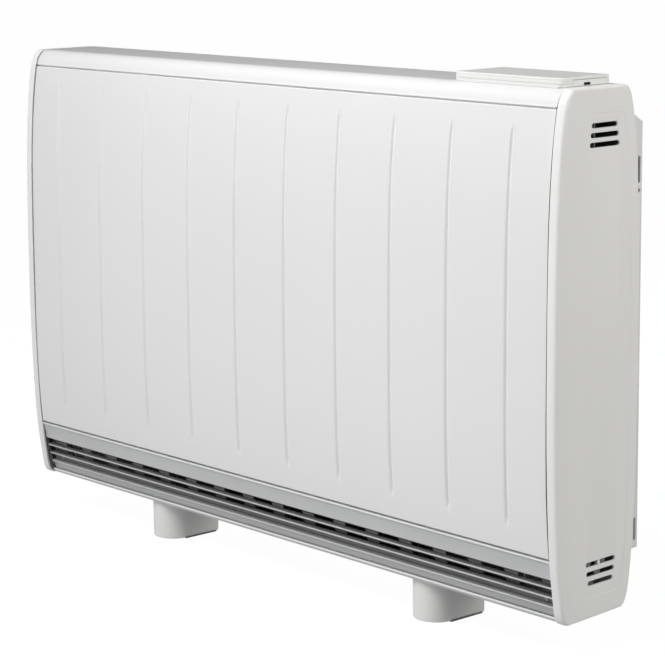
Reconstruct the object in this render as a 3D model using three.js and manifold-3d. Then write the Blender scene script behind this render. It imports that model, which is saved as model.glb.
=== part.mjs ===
// Slim fan-assisted storage heater, 1080 mm wide, as an assembly of separate pieces.
//
// Frame: millimetres, +Z up, +X to the right hand end, +Y to the wall.
// Origin: on the floor, at the middle of the width and of the depth, so the
// casing front is at y = -92.5 and the wall is at y = +92.5.
import * as THREE from 'three';
import { mergeVertices } from 'three/addons/utils/BufferGeometryUtils.js';
import Module from 'manifold-3d';

const wasm = await Module();
wasm.setup();

// ---------------------------------------------------------------- dimensions
const HALF_W = 540;          // half of the overall width
const HALF_D = 92.5;         // half of the overall depth, wall brackets included
const INNER_W = 526;         // where the end panels begin
const GAP = 0.3;             // clearance between pieces that touch
const SHEET = 1.2;           // casing sheet thickness

const TOP_Z = 714.7;         // flat top of the casing
const SEAM_Z = 691.6;        // middle of the joint between front panel and top panel
const JOINT = 0.9;           // half the width of that joint
const SIDE_GAP = 0.8;        // gap between the steel panels and the end panels
const PANEL_BOTTOM_Z = 141.8;
const REAR_Y = 48.1;         // outer face of the rear panel

const CREASE_PITCH = 101.8;  // ten pressed lines on the front panel
const CREASE_TOP = 669.5;
const CREASE_BOTTOM = 170.6;

const FOOT_X = 275.3;        // foot centres
const FOOT_NOSE_R = 31;
const FOOT_NOSE_Y = -26.8;
const FOOT_REAR_Y = 32.5;
const FOOT_TOP = 60.4;

const BRACKET_X = 518;       // outer face of the wall brackets
const BRACKET_LO = 121.4;
const BRACKET_HI = 690;

const LID_AXIS = [24.6, 719.4];    // hinge line of the control lid, as (y, z)
const LID_TOP = 726.1;
const LID_UNDER = 722.9;

const FAN_AXIS = [8, 103];         // fan shaft, as (y, z)
const DAMPER_AXIS = [-30, 131];    // damper rod, as (y, z)

// ------------------------------------------------------------------- helpers
const solid = (geometry) => {
  const g = geometry.clone();
  for (const name of Object.keys(g.attributes)) if (name !== 'position') g.deleteAttribute(name);
  const m = mergeVertices(g, 1e-4);
  return new wasm.Manifold(new wasm.Mesh({
    numProp: 3,
    vertProperties: new Float32Array(m.attributes.position.array),
    triVerts: new Uint32Array(m.index.array),
  }));
};
const geometryOf = (manifold) => {
  const mesh = manifold.getMesh();
  const g = new THREE.BufferGeometry();
  const n = mesh.vertProperties.length / mesh.numProp;
  const xyz = new Float32Array(n * 3);
  for (let i = 0; i < n; i++) for (let k = 0; k < 3; k++) xyz[3 * i + k] = mesh.vertProperties[mesh.numProp * i + k];
  g.setAttribute('position', new THREE.BufferAttribute(xyz, 3));
  g.setIndex(new THREE.BufferAttribute(new Uint32Array(mesh.triVerts), 1));
  return g;
};
const join = (...list) => list.reduce((a, b) => a.add(b));
const cut = (body, ...tools) => tools.reduce((a, b) => a.subtract(b), body);

const block = (x0, x1, y0, y1, z0, z1) =>
  new THREE.BoxGeometry(x1 - x0, y1 - y0, z1 - z0).translate((x0 + x1) / 2, (y0 + y1) / 2, (z0 + z1) / 2);
const shapeOf = (outline, holes = []) => {
  const s = new THREE.Shape(outline.map(([a, b]) => new THREE.Vector2(a, b)));
  for (const h of holes) s.holes.push(new THREE.Path(h.map(([a, b]) => new THREE.Vector2(a, b))));
  return s;
};
const extrude = (outline, depth, holes) =>
  new THREE.ExtrudeGeometry(shapeOf(outline, holes), { depth, steps: 1, bevelEnabled: false });
const V = (x, y, z) => new THREE.Vector3(x, y, z);
// A (y, z) outline swept along X, an (x, y) outline along Z, an (x, z) outline along Y.
const alongX = (outline, x0, x1, holes) =>
  extrude(outline, x1 - x0, holes).applyMatrix4(new THREE.Matrix4().makeBasis(V(0, 1, 0), V(0, 0, 1), V(1, 0, 0))).translate(x0, 0, 0);
const alongZ = (outline, z0, z1, holes) => extrude(outline, z1 - z0, holes).translate(0, 0, z0);
const alongY = (outline, y0, y1, holes) =>
  extrude(outline, y1 - y0, holes).applyMatrix4(new THREE.Matrix4().makeBasis(V(1, 0, 0), V(0, 0, 1), V(0, -1, 0))).translate(0, y1, 0);

const circle = (a, b, r, n = 12) =>
  Array.from({ length: n }, (_, i) => [a + r * Math.cos((2 * Math.PI * (i + 0.5)) / n), b + r * Math.sin((2 * Math.PI * (i + 0.5)) / n)]);
const arc = (a, b, r, from, to, n) =>
  Array.from({ length: n + 1 }, (_, i) => {
    const t = ((from + ((to - from) * i) / n) * Math.PI) / 180;
    return [a + r * Math.cos(t), b + r * Math.sin(t)];
  });
const rounded = (a0, a1, b0, b1, r, n = 3) => [
  ...arc(a1 - r, b0 + r, r, -90, 0, n), ...arc(a1 - r, b1 - r, r, 0, 90, n),
  ...arc(a0 + r, b1 - r, r, 90, 180, n), ...arc(a0 + r, b0 + r, r, 180, 270, n)];
const slotShape = (a0, a1, b, h, n = 5) => rounded(a0, a1, b - h / 2, b + h / 2, h / 2 - 0.01, n);
const mirrorX = (geometry) => {
  const g = geometry.clone().applyMatrix4(new THREE.Matrix4().makeScale(-1, 1, 1));
  const idx = g.index ? g.index : null;
  if (idx) {
    for (let i = 0; i < idx.count; i += 3) { const a = idx.getX(i); idx.setX(i, idx.getX(i + 1)); idx.setX(i + 1, a); }
    return g;
  }
  const p = g.attributes.position;
  for (let i = 0; i < p.count; i += 3) {
    const a = V(0, 0, 0).fromBufferAttribute(p, i), b = V(0, 0, 0).fromBufferAttribute(p, i + 1);
    p.setXYZ(i, b.x, b.y, b.z); p.setXYZ(i + 1, a.x, a.y, a.z);
  }
  return g;
};
// A closed skin through equal loops of (y, z) points standing at increasing x.
const loftX = (loops, xs) => {
  const n = loops[0].length, position = [], index = [];
  loops.forEach((loop, k) => loop.forEach(([y, z]) => position.push(xs[k], y, z)));
  for (let k = 0; k + 1 < loops.length; k++) for (let i = 0; i < n; i++) {
    const a = k * n + i, b = k * n + ((i + 1) % n), c = a + n, d = b + n;
    index.push(a, b, d, a, d, c);
  }
  const flat = (loop) => THREE.ShapeUtils.triangulateShape(loop.map(([a, b]) => new THREE.Vector2(a, b)), []);
  for (const [a, b, c] of flat(loops[0])) index.push(a, c, b);
  const o = (loops.length - 1) * n;
  for (const [a, b, c] of flat(loops[loops.length - 1])) index.push(o + a, o + b, o + c);
  const g = new THREE.BufferGeometry();
  g.setAttribute('position', new THREE.Float32BufferAttribute(position, 3));
  g.setIndex(index);
  return g;
};
// The outline moved inward by d. Outlines run anticlockwise.
const inset = (outline, d) => {
  const n = outline.length;
  return outline.map(([y, z], i) => {
    const [py, pz] = outline[(i + n - 1) % n], [qy, qz] = outline[(i + 1) % n];
    const u = new THREE.Vector2(y - py, z - pz).normalize(), v = new THREE.Vector2(qy - y, qz - z).normalize();
    const nu = new THREE.Vector2(-u.y, u.x), nv = new THREE.Vector2(-v.y, v.x);
    const m = nu.clone().add(nv).normalize();
    const k = d / Math.max(0.5, m.dot(nu));
    return [y + m.x * k, z + m.y * k];
  });
};

const group = new THREE.Group();
const paint = (color, roughness, metalness) => new THREE.MeshStandardMaterial({ color, roughness, metalness });
const FINISH = {
  white_panel: () => paint(0xf1f1f0, 0.35, 0.0),
  white_plastic: () => paint(0xdcdcd7, 0.45, 0.0),
  silver: () => paint(0xb9babb, 0.4, 0.6),
  dark_sheet: () => paint(0x55565a, 0.6, 0.3),
  galvanised: () => paint(0xa4a6a6, 0.5, 0.8),
  insulation: () => paint(0xcfc8b4, 0.95, 0.0),
  brick: () => paint(0x4a4038, 0.9, 0.0),
  steel: () => paint(0x8f9192, 0.35, 0.9),
  black: () => paint(0x1b1c1e, 0.5, 0.0),
  board: () => paint(0x1f5a3a, 0.6, 0.0),
  window: () => paint(0x2a3034, 0.1, 0.0),
  grey: () => paint(0x8c8f92, 0.5, 0.0),
};
const subgroup = () => { const g = new THREE.Group(); group.add(g); return g; };
const casing = subgroup(), stand = subgroup(), controls = subgroup(), core = subgroup(), air = subgroup(), electrics = subgroup();
const add = (parent, name, shape, finish) => {
  const geometry = shape.isBufferGeometry ? shape : geometryOf(shape);
  const mesh = new THREE.Mesh(geometry, FINISH[finish]());
  mesh.name = name;
  parent.add(mesh);
  return mesh;
};

// -------------------------------------------------------------- front panel
// The steel front bulges: flat in the middle of its height, curving back above and below.
const frontY = (z) => {
  const u = (z - 400) / 300;
  return -91.5 + 1.5 * u + 2.0 * u * u + 0.3 * u * u * u + 13.3 * u ** 4;
};
{
  const top = SEAM_Z - JOINT, low = PANEL_BOTTOM_Z;
  const zs = [low, CREASE_BOTTOM, 205, 250, 310, 390, 460, 520, 570, 610, 645, CREASE_TOP, top];
  const outer = zs.map((z) => [frontY(z), z]);
  const inner = zs.map((z) => [frontY(z) + SHEET, Math.min(Math.max(z, low + SHEET), top - SHEET)]).reverse();
  const section = [[-71, low], ...outer, [-63, top], [-63, top - SHEET], ...inner, [-71, low + SHEET]];
  const sheet = solid(alongX(section.reverse(), -INNER_W + SIDE_GAP, INNER_W - SIDE_GAP));
  const grooveZ = [CREASE_BOTTOM, 205, 250, 310, 390, 460, 520, 570, 610, 645, CREASE_TOP];
  const groove = [...grooveZ.map((z) => [frontY(z) - 0.6, z]).reverse(), ...grooveZ.map((z) => [frontY(z) + 0.7, z])];
  const lines = Array.from({ length: 10 }, (_, i) => {
    const x = CREASE_PITCH * (i - 4.5);
    return solid(alongX(groove, x - 2, x + 2));
  });
  add(casing, 'front_panel', cut(sheet, ...lines), 'white_panel');
}

// ---------------------------------------------------------------- top panel
const WELL = [350.5, 513.5, -52.5, 13.5];   // opening for the control well: x0, x1, y0, y1
{
  const t = SHEET;
  const z0 = SEAM_Z + JOINT;
  const outer = [[frontY(z0), z0], [-75.0, 695], [-73.3, 700], [-70.6, 705], [-66.9, 709.6], [-62.4, 713], [-57, TOP_Z],
    [36, TOP_Z], [41, 713.6], [45, 710.6], [48, 706.2], [49.6, 700.5], [49.6, 690]];
  const inner = [[frontY(z0) + t, z0 + t], [-73.8, 695.4], [-72.2, 699.4], [-69.6, 704.1], [-66.1, 708.5], [-61.9, 711.8], [-56.8, TOP_Z - t],
    [35.9, TOP_Z - t], [40.5, 712.5], [44.2, 709.7], [46.9, 705.6], [48.4, 700.3], [48.4, 690]];
  const section = [[-63, z0], ...outer, ...inner.reverse(), [-63, z0 + t]];
  const sheet = solid(alongX(section.reverse(), -INNER_W + SIDE_GAP, INNER_W - SIDE_GAP));
  const closing = solid(block(-521, 521, frontY(SEAM_Z) + 2.2, frontY(SEAM_Z) + 3.4, SEAM_Z - JOINT + GAP, z0 + 0.6));   // turned-down edge behind the joint
  add(casing, 'top_panel', cut(join(sheet, closing), solid(block(WELL[0], WELL[1], WELL[2], WELL[3], 705, 720))), 'white_panel');
}

// --------------------------------------------------------------- end panels
// One outline for both ends, anticlockwise in (y, z).
const END_OUTLINE = [
  [-57, 56.5], [-20, 57.3], [32, 58.6], [38.2, 60], [42.6, 64.2], [46.6, 73], [50.4, 89], [54.2, 119], [57.6, 160], [60.2, 215], [62.2, 290], [63.6, 390],
  [63.0, 470], [61.1, 545], [58.3, 605], [55.9, 640], [52.7, 663], [49.5, 682], [46.6, 695], [44.0, 704.2], [41.4, 709.4], [37.2, 713.2], [31, 714.7],
  [-15, 714.7], [-59, 714.7], [-65, 712.9], [-69.6, 709.2], [-73.3, 703], [-76.2, 695.5], [-79.4, 680], [-82.6, 658], [-85.6, 628], [-88.2, 592],
  [-90.6, 540], [-92, 475], [-92.5, 400], [-92.4, 320], [-91.2, 250], [-89.1, 195], [-86.2, 148], [-83.1, 118], [-80.1, 98], [-77.2, 78], [-74.8, 67],
  [-71.2, 60.2], [-65.4, 57],
];
const VENTS = [[-29.5, 17.2, 668.6], [-31.3, 19.6, 656.8], [-32.6, 21.4, 645.2], [-32.5, 21.7, 126.7], [-31.2, 20.2, 114.4], [-28.6, 17.6, 102.4]];
{
  const skin = loftX([END_OUTLINE, END_OUTLINE, inset(END_OUTLINE, 1.4), inset(END_OUTLINE, 4.6)], [INNER_W, 535.4, 538.6, HALF_W]);
  const hollow = loftX([inset(END_OUTLINE, 3), inset(END_OUTLINE, 3)], [INNER_W - 2, HALF_W - 3]);
  const vents = VENTS.map(([y0, y1, z]) => solid(alongX(slotShape(y0, y1, z, 6, 4), HALF_W - 6, HALF_W + 2)));
  const right = geometryOf(cut(solid(skin), solid(hollow), ...vents));
  add(casing, 'end_panel_right', right, 'white_plastic');
  add(casing, 'end_panel_left', mirrorX(right), 'white_plastic');
}

// ---------------------------------------------------- rear panel, base tray
const GLAND = [492, 110];   // cable entry, as (x, z)
{
  const rear = alongY(rounded(-525.5, 525.5, 63.2, 699.6, 2, 1), REAR_Y - SHEET, REAR_Y, [circle(GLAND[0], GLAND[1], 8, 12)]);
  add(casing, 'rear_panel', rear, 'galvanised');
  const z0 = 60.8, z1 = 62.8, y0 = -51.5, y1 = REAR_Y - SHEET - GAP;
  const tray = solid(alongX([[y0, z0], [y1, z0], [y1, 94], [y1 - 1.5, 94], [y1 - 1.5, z1], [y0, z1]], -525.4, 525.4));
  const holes = [-1, 1].map((s) => solid(alongZ(circle(s * FOOT_X, -8, 3, 10), z0 - 1, z1 + 1)));
  add(casing, 'base_tray', cut(tray, ...holes), 'galvanised');
}

// ------------------------------------------------------------ outlet grille
// The grille leans back towards its foot. s runs down its face, n runs into the heater.
const LEAN = [0.2291, 0.9734];
const FACE = [-84.2, 141.4];   // top edge of the face, as (y, z)
const at = (s, n) => [FACE[0] + LEAN[0] * s + LEAN[1] * n, FACE[1] - LEAN[1] * s + LEAN[0] * n];
const leaning = (s, n) => {
  const [y, z] = at(s, n);
  return new THREE.Matrix4().makeBasis(V(1, 0, 0), V(0, LEAN[1], LEAN[0]), V(0, -LEAN[0], LEAN[1])).setPosition(0, y, z);
};
const bar = (points, x0, x1) => {
  const p = points.map(([s, n]) => [n, -s]);
  let area = 0;
  p.forEach(([a, b], i) => { const [c, d] = p[(i + 1) % p.length]; area += a * d - b * c; });
  return solid(alongX(area > 0 ? p : p.reverse(), x0, x1));
};
const FINS = [40.6, 54.2, 67.6];
const PLATE_N = 12.5;
{
  const x = INNER_W - GAP;
  const end = [[2.6, 0], [85.2, 0], [86.2, 3], [70, 9], [2.6, 9]];
  const hole = (c, s, r) => solid(alongY(circle(c, -s, r, 10), 4, 12));
  const parts = [
    bar([[2.6, 0], [28.2, 0], [28.2, 1.6], [4.2, 1.6], [4.2, 9], [2.6, 9]], -x, x),   // upper band and its folded top edge
    bar([[80.6, 0], [85.2, 0], [87.6, 1.8], [88.2, 12.2], [87, 12.4], [86.3, 3], [84.6, 1.6], [80.6, 1.6]], -x, x),   // bottom lip, folded under
    bar([[67.6, 6.2], [81.4, 0.8], [81.4, 1.4], [68.2, 7.6]], -x + 0.8, x - 0.8),       // sloping lower strip
    cut(bar([[53.4, 7.6], [68.4, 7.6], [68.4, 8.8], [53.4, 8.8]], -x + 0.8, x - 0.8), ...[-94, -78].map((c) => hole(c, 61.5, 1.5)), ...[-503, 503].map((c) => hole(c, 61.5, 2))),   // blank strip under the two open rows
    ...FINS.map((s) => bar([[s - 1, 0], [s + 1, 0], [s + 1, 8], [s - 1, 8]], -x + 0.8, x - 0.8)),
    bar(end, x - 1.6, x), bar(end, -x, -x + 1.6),                                     // end frames
    ...[-474, -221.2, 31.6, 284.4].map((c) => bar([[3.4, 6.8], [66.9, 6.8], [66.9, 8.6], [3.4, 8.6]], c - 0.8, c + 0.8)),   // ties behind the fins
  ];
  add(casing, 'outlet_grille', geometryOf(join(...parts)).applyMatrix4(leaning(0, 0)), 'silver');

  // Dark air plate behind the fins: two rows of sixteen outlets.
  const s0 = 26, s1 = 78, t = 1.2;
  const holes = [];
  for (let i = 0; i < 16; i++) for (const s of [42.6, 56.4]) {
    const c = 63.2 * (i - 7.5);
    holes.push(rounded(c - 20, c + 20, -s - 4, -s + 4, 0.6, 1));
  }
  for (const c of [-503, 503]) holes.push(circle(c, -61.5, 2.1, 8));
  const plate = alongY([[-523, -s1], [523, -s1], [523, -s0], [-523, -s0]], 0, t, holes);
  add(casing, 'grille_back_plate', plate.applyMatrix4(leaning(0, PLATE_N)), 'dark_sheet');

  // The two screws that hold the air plate.
  const dir = V(0, -0.9734, -0.2291);
  const turn = new THREE.Quaternion().setFromUnitVectors(V(0, 1, 0), dir);
  for (const [name, c] of [['grille_screw_left', -503], ['grille_screw_right', 503]]) {
    const [hy, hz] = at(61.5, 0);
    const profile = [[0, -20], [1.7, -20], [1.7, -7.3], [3.3, -7.3], [3.3, -5.9], [2.4, -5.1], [0, -4.9]].map(([r, h]) => new THREE.Vector2(r, h));
    const screw = new THREE.LatheGeometry(profile, 12).applyQuaternion(turn);
    add(casing, name, screw.translate(c, hy, hz), 'steel');
  }
}

// --------------------------------------------------------------------- feet
{
  const outline = (k) => {
    const r = FOOT_NOSE_R - k;
    return [...arc(0, FOOT_NOSE_Y, r, 180, 360, 12), [33.5 - k, FOOT_REAR_Y - 2.5], [31 - k, FOOT_REAR_Y - k], [-31 + k, FOOT_REAR_Y - k], [-33.5 + k, FOOT_REAR_Y - 2.5]];
  };
  const shell = solid(alongZ(outline(0), 0, FOOT_TOP));
  const inside = solid(alongZ(outline(3.5), 4, FOOT_TOP + 2));
  const fixing = solid(alongZ(circle(0, -8, 2.5, 10), -1, 6));
  const lipStep = solid(block(-40, 40, -80, -51.2, 56.2, FOOT_TOP + 2));
  const sole = solid(alongZ([[-32.1, -31], [32.1, -31], [34.5, 26.2], [-34.5, 26.2]], 0, 2.2));
  const heel = solid(alongX([[25.56, -1], [40, -1], [40, 10.65]], -40, 40));   // the rear corner is cut off at the floor
  const toe = solid(block(-40, 40, -80, -31, -1, 0.8));                        // the nose stops just above the floor
  const foot = geometryOf(cut(join(shell, sole), inside, fixing, lipStep, heel, toe));
  add(stand, 'foot_left', foot.clone().translate(-FOOT_X, 0, 0), 'white_plastic');
  add(stand, 'foot_right', foot.clone().translate(FOOT_X, 0, 0), 'white_plastic');
}

// ------------------------------------------------------------ wall brackets
{
  const y0 = REAR_Y + 0.4, y1 = HALF_D, xo = BRACKET_X, xi = 470, t = 2;
  const channel = solid(alongZ([[xi, y0], [xo, y0], [xo, y1], [xi, y1], [xi, y1 - t], [xo - t, y1 - t], [xo - t, y0 + t], [xi, y0 + t]], BRACKET_LO, BRACKET_HI));
  const chamfer = solid(alongX([[y1 + 5, 659.9], [y1 + 5, 700], [y0 - 3, 700], [y0 - 3, 691.8]], xi - 5, xo + 5));
  const sideSlots = [[588, 622], [131, 161]].map(([a, b]) => solid(block(xo - 4, xo + 4, 82.5, 87, a, b)));
  const notch = solid(alongX(circle(85, 579, 2.4, 8), xo - 4, xo + 4));
  const wallSlots = [200, 600].map((z) => solid(alongY(rounded(486, 494, z, z + 22, 3.9, 3), y1 - 5, y1 + 5)));
  const right = geometryOf(cut(channel, chamfer, ...sideSlots, notch, ...wallSlots));
  add(stand, 'wall_bracket_right', right, 'galvanised');
  add(stand, 'wall_bracket_left', mirrorX(right), 'galvanised');
}

// ----------------------------------------------------------------- controls
{
  const [ay, az] = LID_AXIS;
  const rimZ0 = TOP_Z + GAP, rimZ1 = 721.8;
  // Rim: narrower at the front, where the lid's skirt comes down round it.
  const left = (r) => arc(347.5, -54, r, 180, 270, 4), right = (r) => arc(512.2, -55.5, r, -90, 0, 4);   // the two front corners
  const rim = solid(alongZ([...left(4), ...right(2.5), [514.7, -38.5], [517.7, -38.5], [517.7, 20.9], [340.5, 20.9], [340.5, -38.5], [343.5, -38.5]], rimZ0, rimZ1));
  const plinth = solid(alongZ([...right(5.5), [517.7, -38], [340.5, -38], ...left(7)], rimZ0, 718.3));
  const apron = solid(block(347.5, 512.2, -61, -59.8, 714.1, rimZ0 + 1));   // front edge reaching down over the rolled steel
  const well = solid(block(WELL[0] + GAP, WELL[1] - GAP, WELL[2] + GAP, WELL[3] - GAP, 700, rimZ0 + 1));
  const lugShape = [[17.3, rimZ0], [ay + 2.9, rimZ0], ...arc(ay, az, 2.9, 0, 90, 4), [17.3, az + 2.9]];
  const lugs = [[341.3, 351.5], [512.5, 517]].map(([a, b]) => solid(alongX(lugShape, a, b)));
  const seat = solid(block(352.3, 511.7, -50.7, 11.7, 712, 730));
  const cavity = solid(block(355, 509, -48, 9, 702, 713));
  const bores = [[347.6, 352.2], [511.8, 515.8]].map(([a, b]) => solid(alongX(circle(ay, az, 1.6, 10), a, b)));
  const port = solid(block(514.5, 519, -20, -8.2, 715.8, 719));
  add(controls, 'control_housing', cut(join(rim, plinth, apron, well, ...lugs), seat, cavity, ...bores, port), 'white_plastic');

  const window = [362, 432, -39, -1];
  const KEYS = { button_back: [449, -8], button_menu: [471, -8], button_ok: [493, -8], button_minus: [460, -32], button_plus: [482, -32] };
  const holes = [rounded(window[0], window[1], window[2], window[3], 2, 2)];
  for (const [x, y] of Object.values(KEYS)) holes.push(rounded(x - 7.4, x + 7.4, y - 5.4, y + 5.4, 2.4, 2));
  add(controls, 'control_fascia', alongZ(rounded(352.6, 511.4, -50.4, 11.4, 1.5, 2), 712.3, 713.9, holes), 'grey');
  add(controls, 'display_window', alongZ(rounded(window[0] + GAP, window[1] - GAP, window[2] + GAP, window[3] - GAP, 1.8, 2), 712.5, 714.3), 'window');
  for (const [name, [x, y]] of Object.entries(KEYS)) {
    const cap = solid(alongZ(rounded(x - 7, x + 7, y - 5, y + 5, 2.2, 3), 710, 717.3));
    const collar = solid(alongZ(rounded(x - 8.2, x + 8.2, y - 6.2, y + 6.2, 2.2, 1), 709, 711.8));
    add(controls, name, join(cap, collar), 'grey');
  }
  // Circuit board on four posts, with the display module and a key switch under each button.
  const switches = Object.values(KEYS).map(([x, y]) => solid(block(x - 3, x + 3, y - 3, y + 3, 705, 707.8)));
  const posts = [[360, -43], [504, -43], [360, 4], [504, 4]].map(([x, y]) => solid(alongZ(circle(x, y, 2.4, 8), 702.3, 705)));
  const board = join(solid(block(357, 507, -46, 7, 704, 705.6)), solid(block(364, 430, -37, -3, 705, 712.2)), ...switches, ...posts);
  add(controls, 'control_board', board, 'board');

  // Lid: plate, skirt across the front with short returns, hinge barrel and two pivots.
  const plate = solid(alongZ([...right(5.5), ...arc(514.7, 25.1, 3, 0, 90, 4), ...arc(343.5, 25.1, 3, 90, 180, 4), ...left(7)], LID_UNDER, LID_TOP));
  const skirtOutline = [...right(5.5), [517.7, -38.9], [515, -38.9], ...right(2.8).reverse(), ...left(4.3).reverse(), [343.2, -38.9], [340.5, -38.9], ...left(7)];
  const skirt = solid(alongZ(skirtOutline, 718.6, LID_UNDER + 1));
  const barrel = solid(alongX(circle(ay, az, 3.0, 12), 352.1, 511.9));
  const web = solid(block(352.1, 511.9, ay - 1.8, ay + 1.8, az, LID_UNDER + 1));
  const pivots = [[348, 353], [511, 515.4]].map(([a, b]) => solid(alongX(circle(ay, az, 1.25, 8), a, b)));
  add(controls, 'control_lid', join(plate, skirt, barrel, web, ...pivots), 'white_plastic');
}

// --------------------------------------------------------------------- core
const ROW = 120.5, CORE_Z = 176.3, LEGS = [-26, 5];
{
  const top = CORE_Z + 4 * ROW - GAP;
  add(core, 'core_tray', alongX([[-64, 134], [-64, 148], [43, 148], [43, 134], [41.5, 134], [41.5, 146.2], [-62.5, 146.2], [-62.5, 134]].reverse(), -503, 459), 'galvanised');
  add(core, 'insulation_base', block(-503, 458, -63.8, 43, 148.3, CORE_Z - GAP), 'insulation');
  add(core, 'insulation_top', block(-503, 458, -63.8, 43, top + GAP, 685), 'insulation');
  add(core, 'insulation_front', block(-503, 458, -63.8, -45, CORE_Z, top), 'insulation');
  add(core, 'insulation_rear', block(-503, 458, 24, 43, CORE_Z, top), 'insulation');
  add(core, 'insulation_left', block(-503, -477, -44.7, 23.7, CORE_Z, top), 'insulation');
  const levels = [0, 1, 2].map((i) => CORE_Z + (i + 1) * ROW - GAP - 5.6);
  const ports = levels.flatMap((z) => LEGS.map((y) => circle(y, z, 6, 8)));
  ports.push(circle(-10.5, 470, 3.4, 8));
  const [y0, y1] = [-44.7, 23.7];
  add(core, 'insulation_right', alongX([[y0, CORE_Z], [y1, CORE_Z], [y1, top], [y0, top]], 432, 458, ports), 'insulation');

  // Twelve storage bricks: four courses of three, grooved on top for the element legs.
  const columns = [[-452, -158.2], [-157.9, 135.9], [136.2, 430]];
  for (let r = 0; r < 4; r++) columns.forEach(([x0, x1], c) => {
    const a = CORE_Z + r * ROW, b = a + ROW - GAP;
    const g = (y) => [[y + 6.2, b], [y + 6.2, b - 11.4], [y - 6.2, b - 11.4], [y - 6.2, b]];
    const shape = r === 3 ? [[-44.4, a], [23.4, a], [23.4, b], [-44.4, b]] : [[-44.4, a], [23.4, a], [23.4, b], ...g(LEGS[1]), ...g(LEGS[0]), [-44.4, b]];
    add(core, `core_brick_${r + 1}_${c + 1}`, alongX(shape, x0, x1), 'brick');
  });

  // Hairpin heating elements: two straight legs and one return bend.
  class Hairpin extends THREE.Curve {
    constructor(points) { super(); this.points = points; }
    getPoint(t) { return this.points[Math.round(t * (this.points.length - 1))].clone(); }
    getPointAt(t) { return this.getPoint(t); }
    getSpacedPoints() { return this.points.map((p) => p.clone()); }
    getTangentAt(t) {
      const n = this.points.length - 1, i = Math.round(t * n);
      const a = this.points[Math.max(0, i - 1)], b = this.points[Math.min(n, i + 1)];
      return b.clone().sub(a).normalize();
    }
    getTangent(t) { return this.getTangentAt(t); }
  }
  levels.forEach((z, i) => {
    const mid = (LEGS[0] + LEGS[1]) / 2, r = (LEGS[1] - LEGS[0]) / 2, x = -454;
    const path = [V(480, LEGS[0], z), V(x, LEGS[0], z)];
    for (let k = 1; k < 10; k++) { const t = (Math.PI * k) / 10; path.push(V(x - r * Math.sin(t), mid - r * Math.cos(t), z)); }
    path.push(V(x, LEGS[1], z), V(480, LEGS[1], z));
    const ring = circle(0, 0, 4.2, 8);
    const rod = new THREE.ExtrudeGeometry(shapeOf(ring), { steps: path.length - 1, bevelEnabled: false, extrudePath: new Hairpin(path) });
    add(core, `heating_element_${i + 1}`, rod, 'steel');
  });
  add(core, 'inner_front_panel', alongX([[-65.4, 148.3], [-64.2, 148.3], [-64.2, 686.5], [-38, 686.5], [-38, 687.7], [-65.4, 687.7]], -503, 458), 'galvanised');
  add(core, 'core_sensor', new THREE.CylinderGeometry(2.6, 2.6, 44, 10).rotateZ(Math.PI / 2).translate(453, -10.5, 470), 'steel');

  // Bulkhead between the core and the electrical compartment.
  const wires = levels.flatMap((z) => LEGS.map((y) => circle(y, z, 6.4, 8)));
  wires.push(circle(-10.5, 470, 3.6, 8));
  add(electrics, 'partition_plate', alongX([[-49.5, 63.4], [44.5, 63.4], [44.5, 686], [-61, 686], [-61, 114], [-50.5, 69]], 460.4, 462, wires), 'galvanised');
}

// ------------------------------------------------------------- air handling
{
  const [fy, fz] = FAN_AXIS, [dy, dz] = DAMPER_AXIS;
  // Scroll round the back of the fan, open upwards to the core and forwards to the grille.
  const scroll = solid(alongX([...arc(fy, fz, 31, -128, 62, 16), ...arc(fy, fz, 32.4, 62, -128, 16)].reverse(), -171, 171));
  const cheekShape = [[-35, 122], [-35, 137], [-22, 140], [30, 140], [41, 128], [41, 84], [24, 70.2], [-12, 70.2], [-22, 84], [-26, 118]].reverse();
  const cheeks = [[-171, -169.6], [169.6, 171]].map(([a, b]) => solid(alongX(cheekShape, a, b, [circle(fy, fz, 4.2, 12), circle(dy, dz, 2.5, 8)])));
  add(air, 'fan_housing', join(scroll, ...cheeks), 'galvanised');

  // Cross-flow impeller: end discs, middle disc and twenty blades on one shaft.
  const disc = (a, b) => solid(alongX(circle(fy, fz, 27, 20), a, b));
  const shaft = solid(alongX(circle(fy, fz, 3, 10), -176, 187));
  const blades = Array.from({ length: 20 }, (_, i) => {
    const g = block(-166.5, 166.5, -0.6, 0.6, -4.2, 4.2);
    g.rotateX((35 * Math.PI) / 180).translate(0, 0, 22.4).rotateX((2 * Math.PI * i) / 20).translate(0, fy, fz);
    return solid(g);
  });
  add(air, 'fan_impeller', join(disc(-167, -165.4), disc(165.4, 167), disc(-0.8, 0.8), shaft, ...blades), 'black');

  const motor = cut(join(solid(alongX(circle(fy, fz, 24, 20), 178, 212)), solid(alongX(circle(fy, fz, 8, 12), 174, 179))), solid(alongX(circle(fy, fz, 3.4, 12), 170, 190)));
  add(air, 'fan_motor', motor, 'steel');

  // Damper flap on its rod, driven from its right hand end.
  const flap = solid(alongX([[dy - 0.8, dz - 26], [dy + 0.8, dz - 26], [dy + 0.8, dz], [dy - 0.8, dz]], -167, 167));
  const rod = solid(alongX(circle(dy, dz, 2.1, 8), -174, 186));
  add(air, 'mixing_damper', join(flap, rod), 'steel');
  const drive = cut(solid(alongX(rounded(dy - 13, dy + 10, dz - 11, dz + 12, 3, 2), 175, 202)), solid(alongX(circle(dy, dz, 2.5, 8), 170, 190)));
  add(air, 'damper_actuator', drive, 'black');
}

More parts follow.
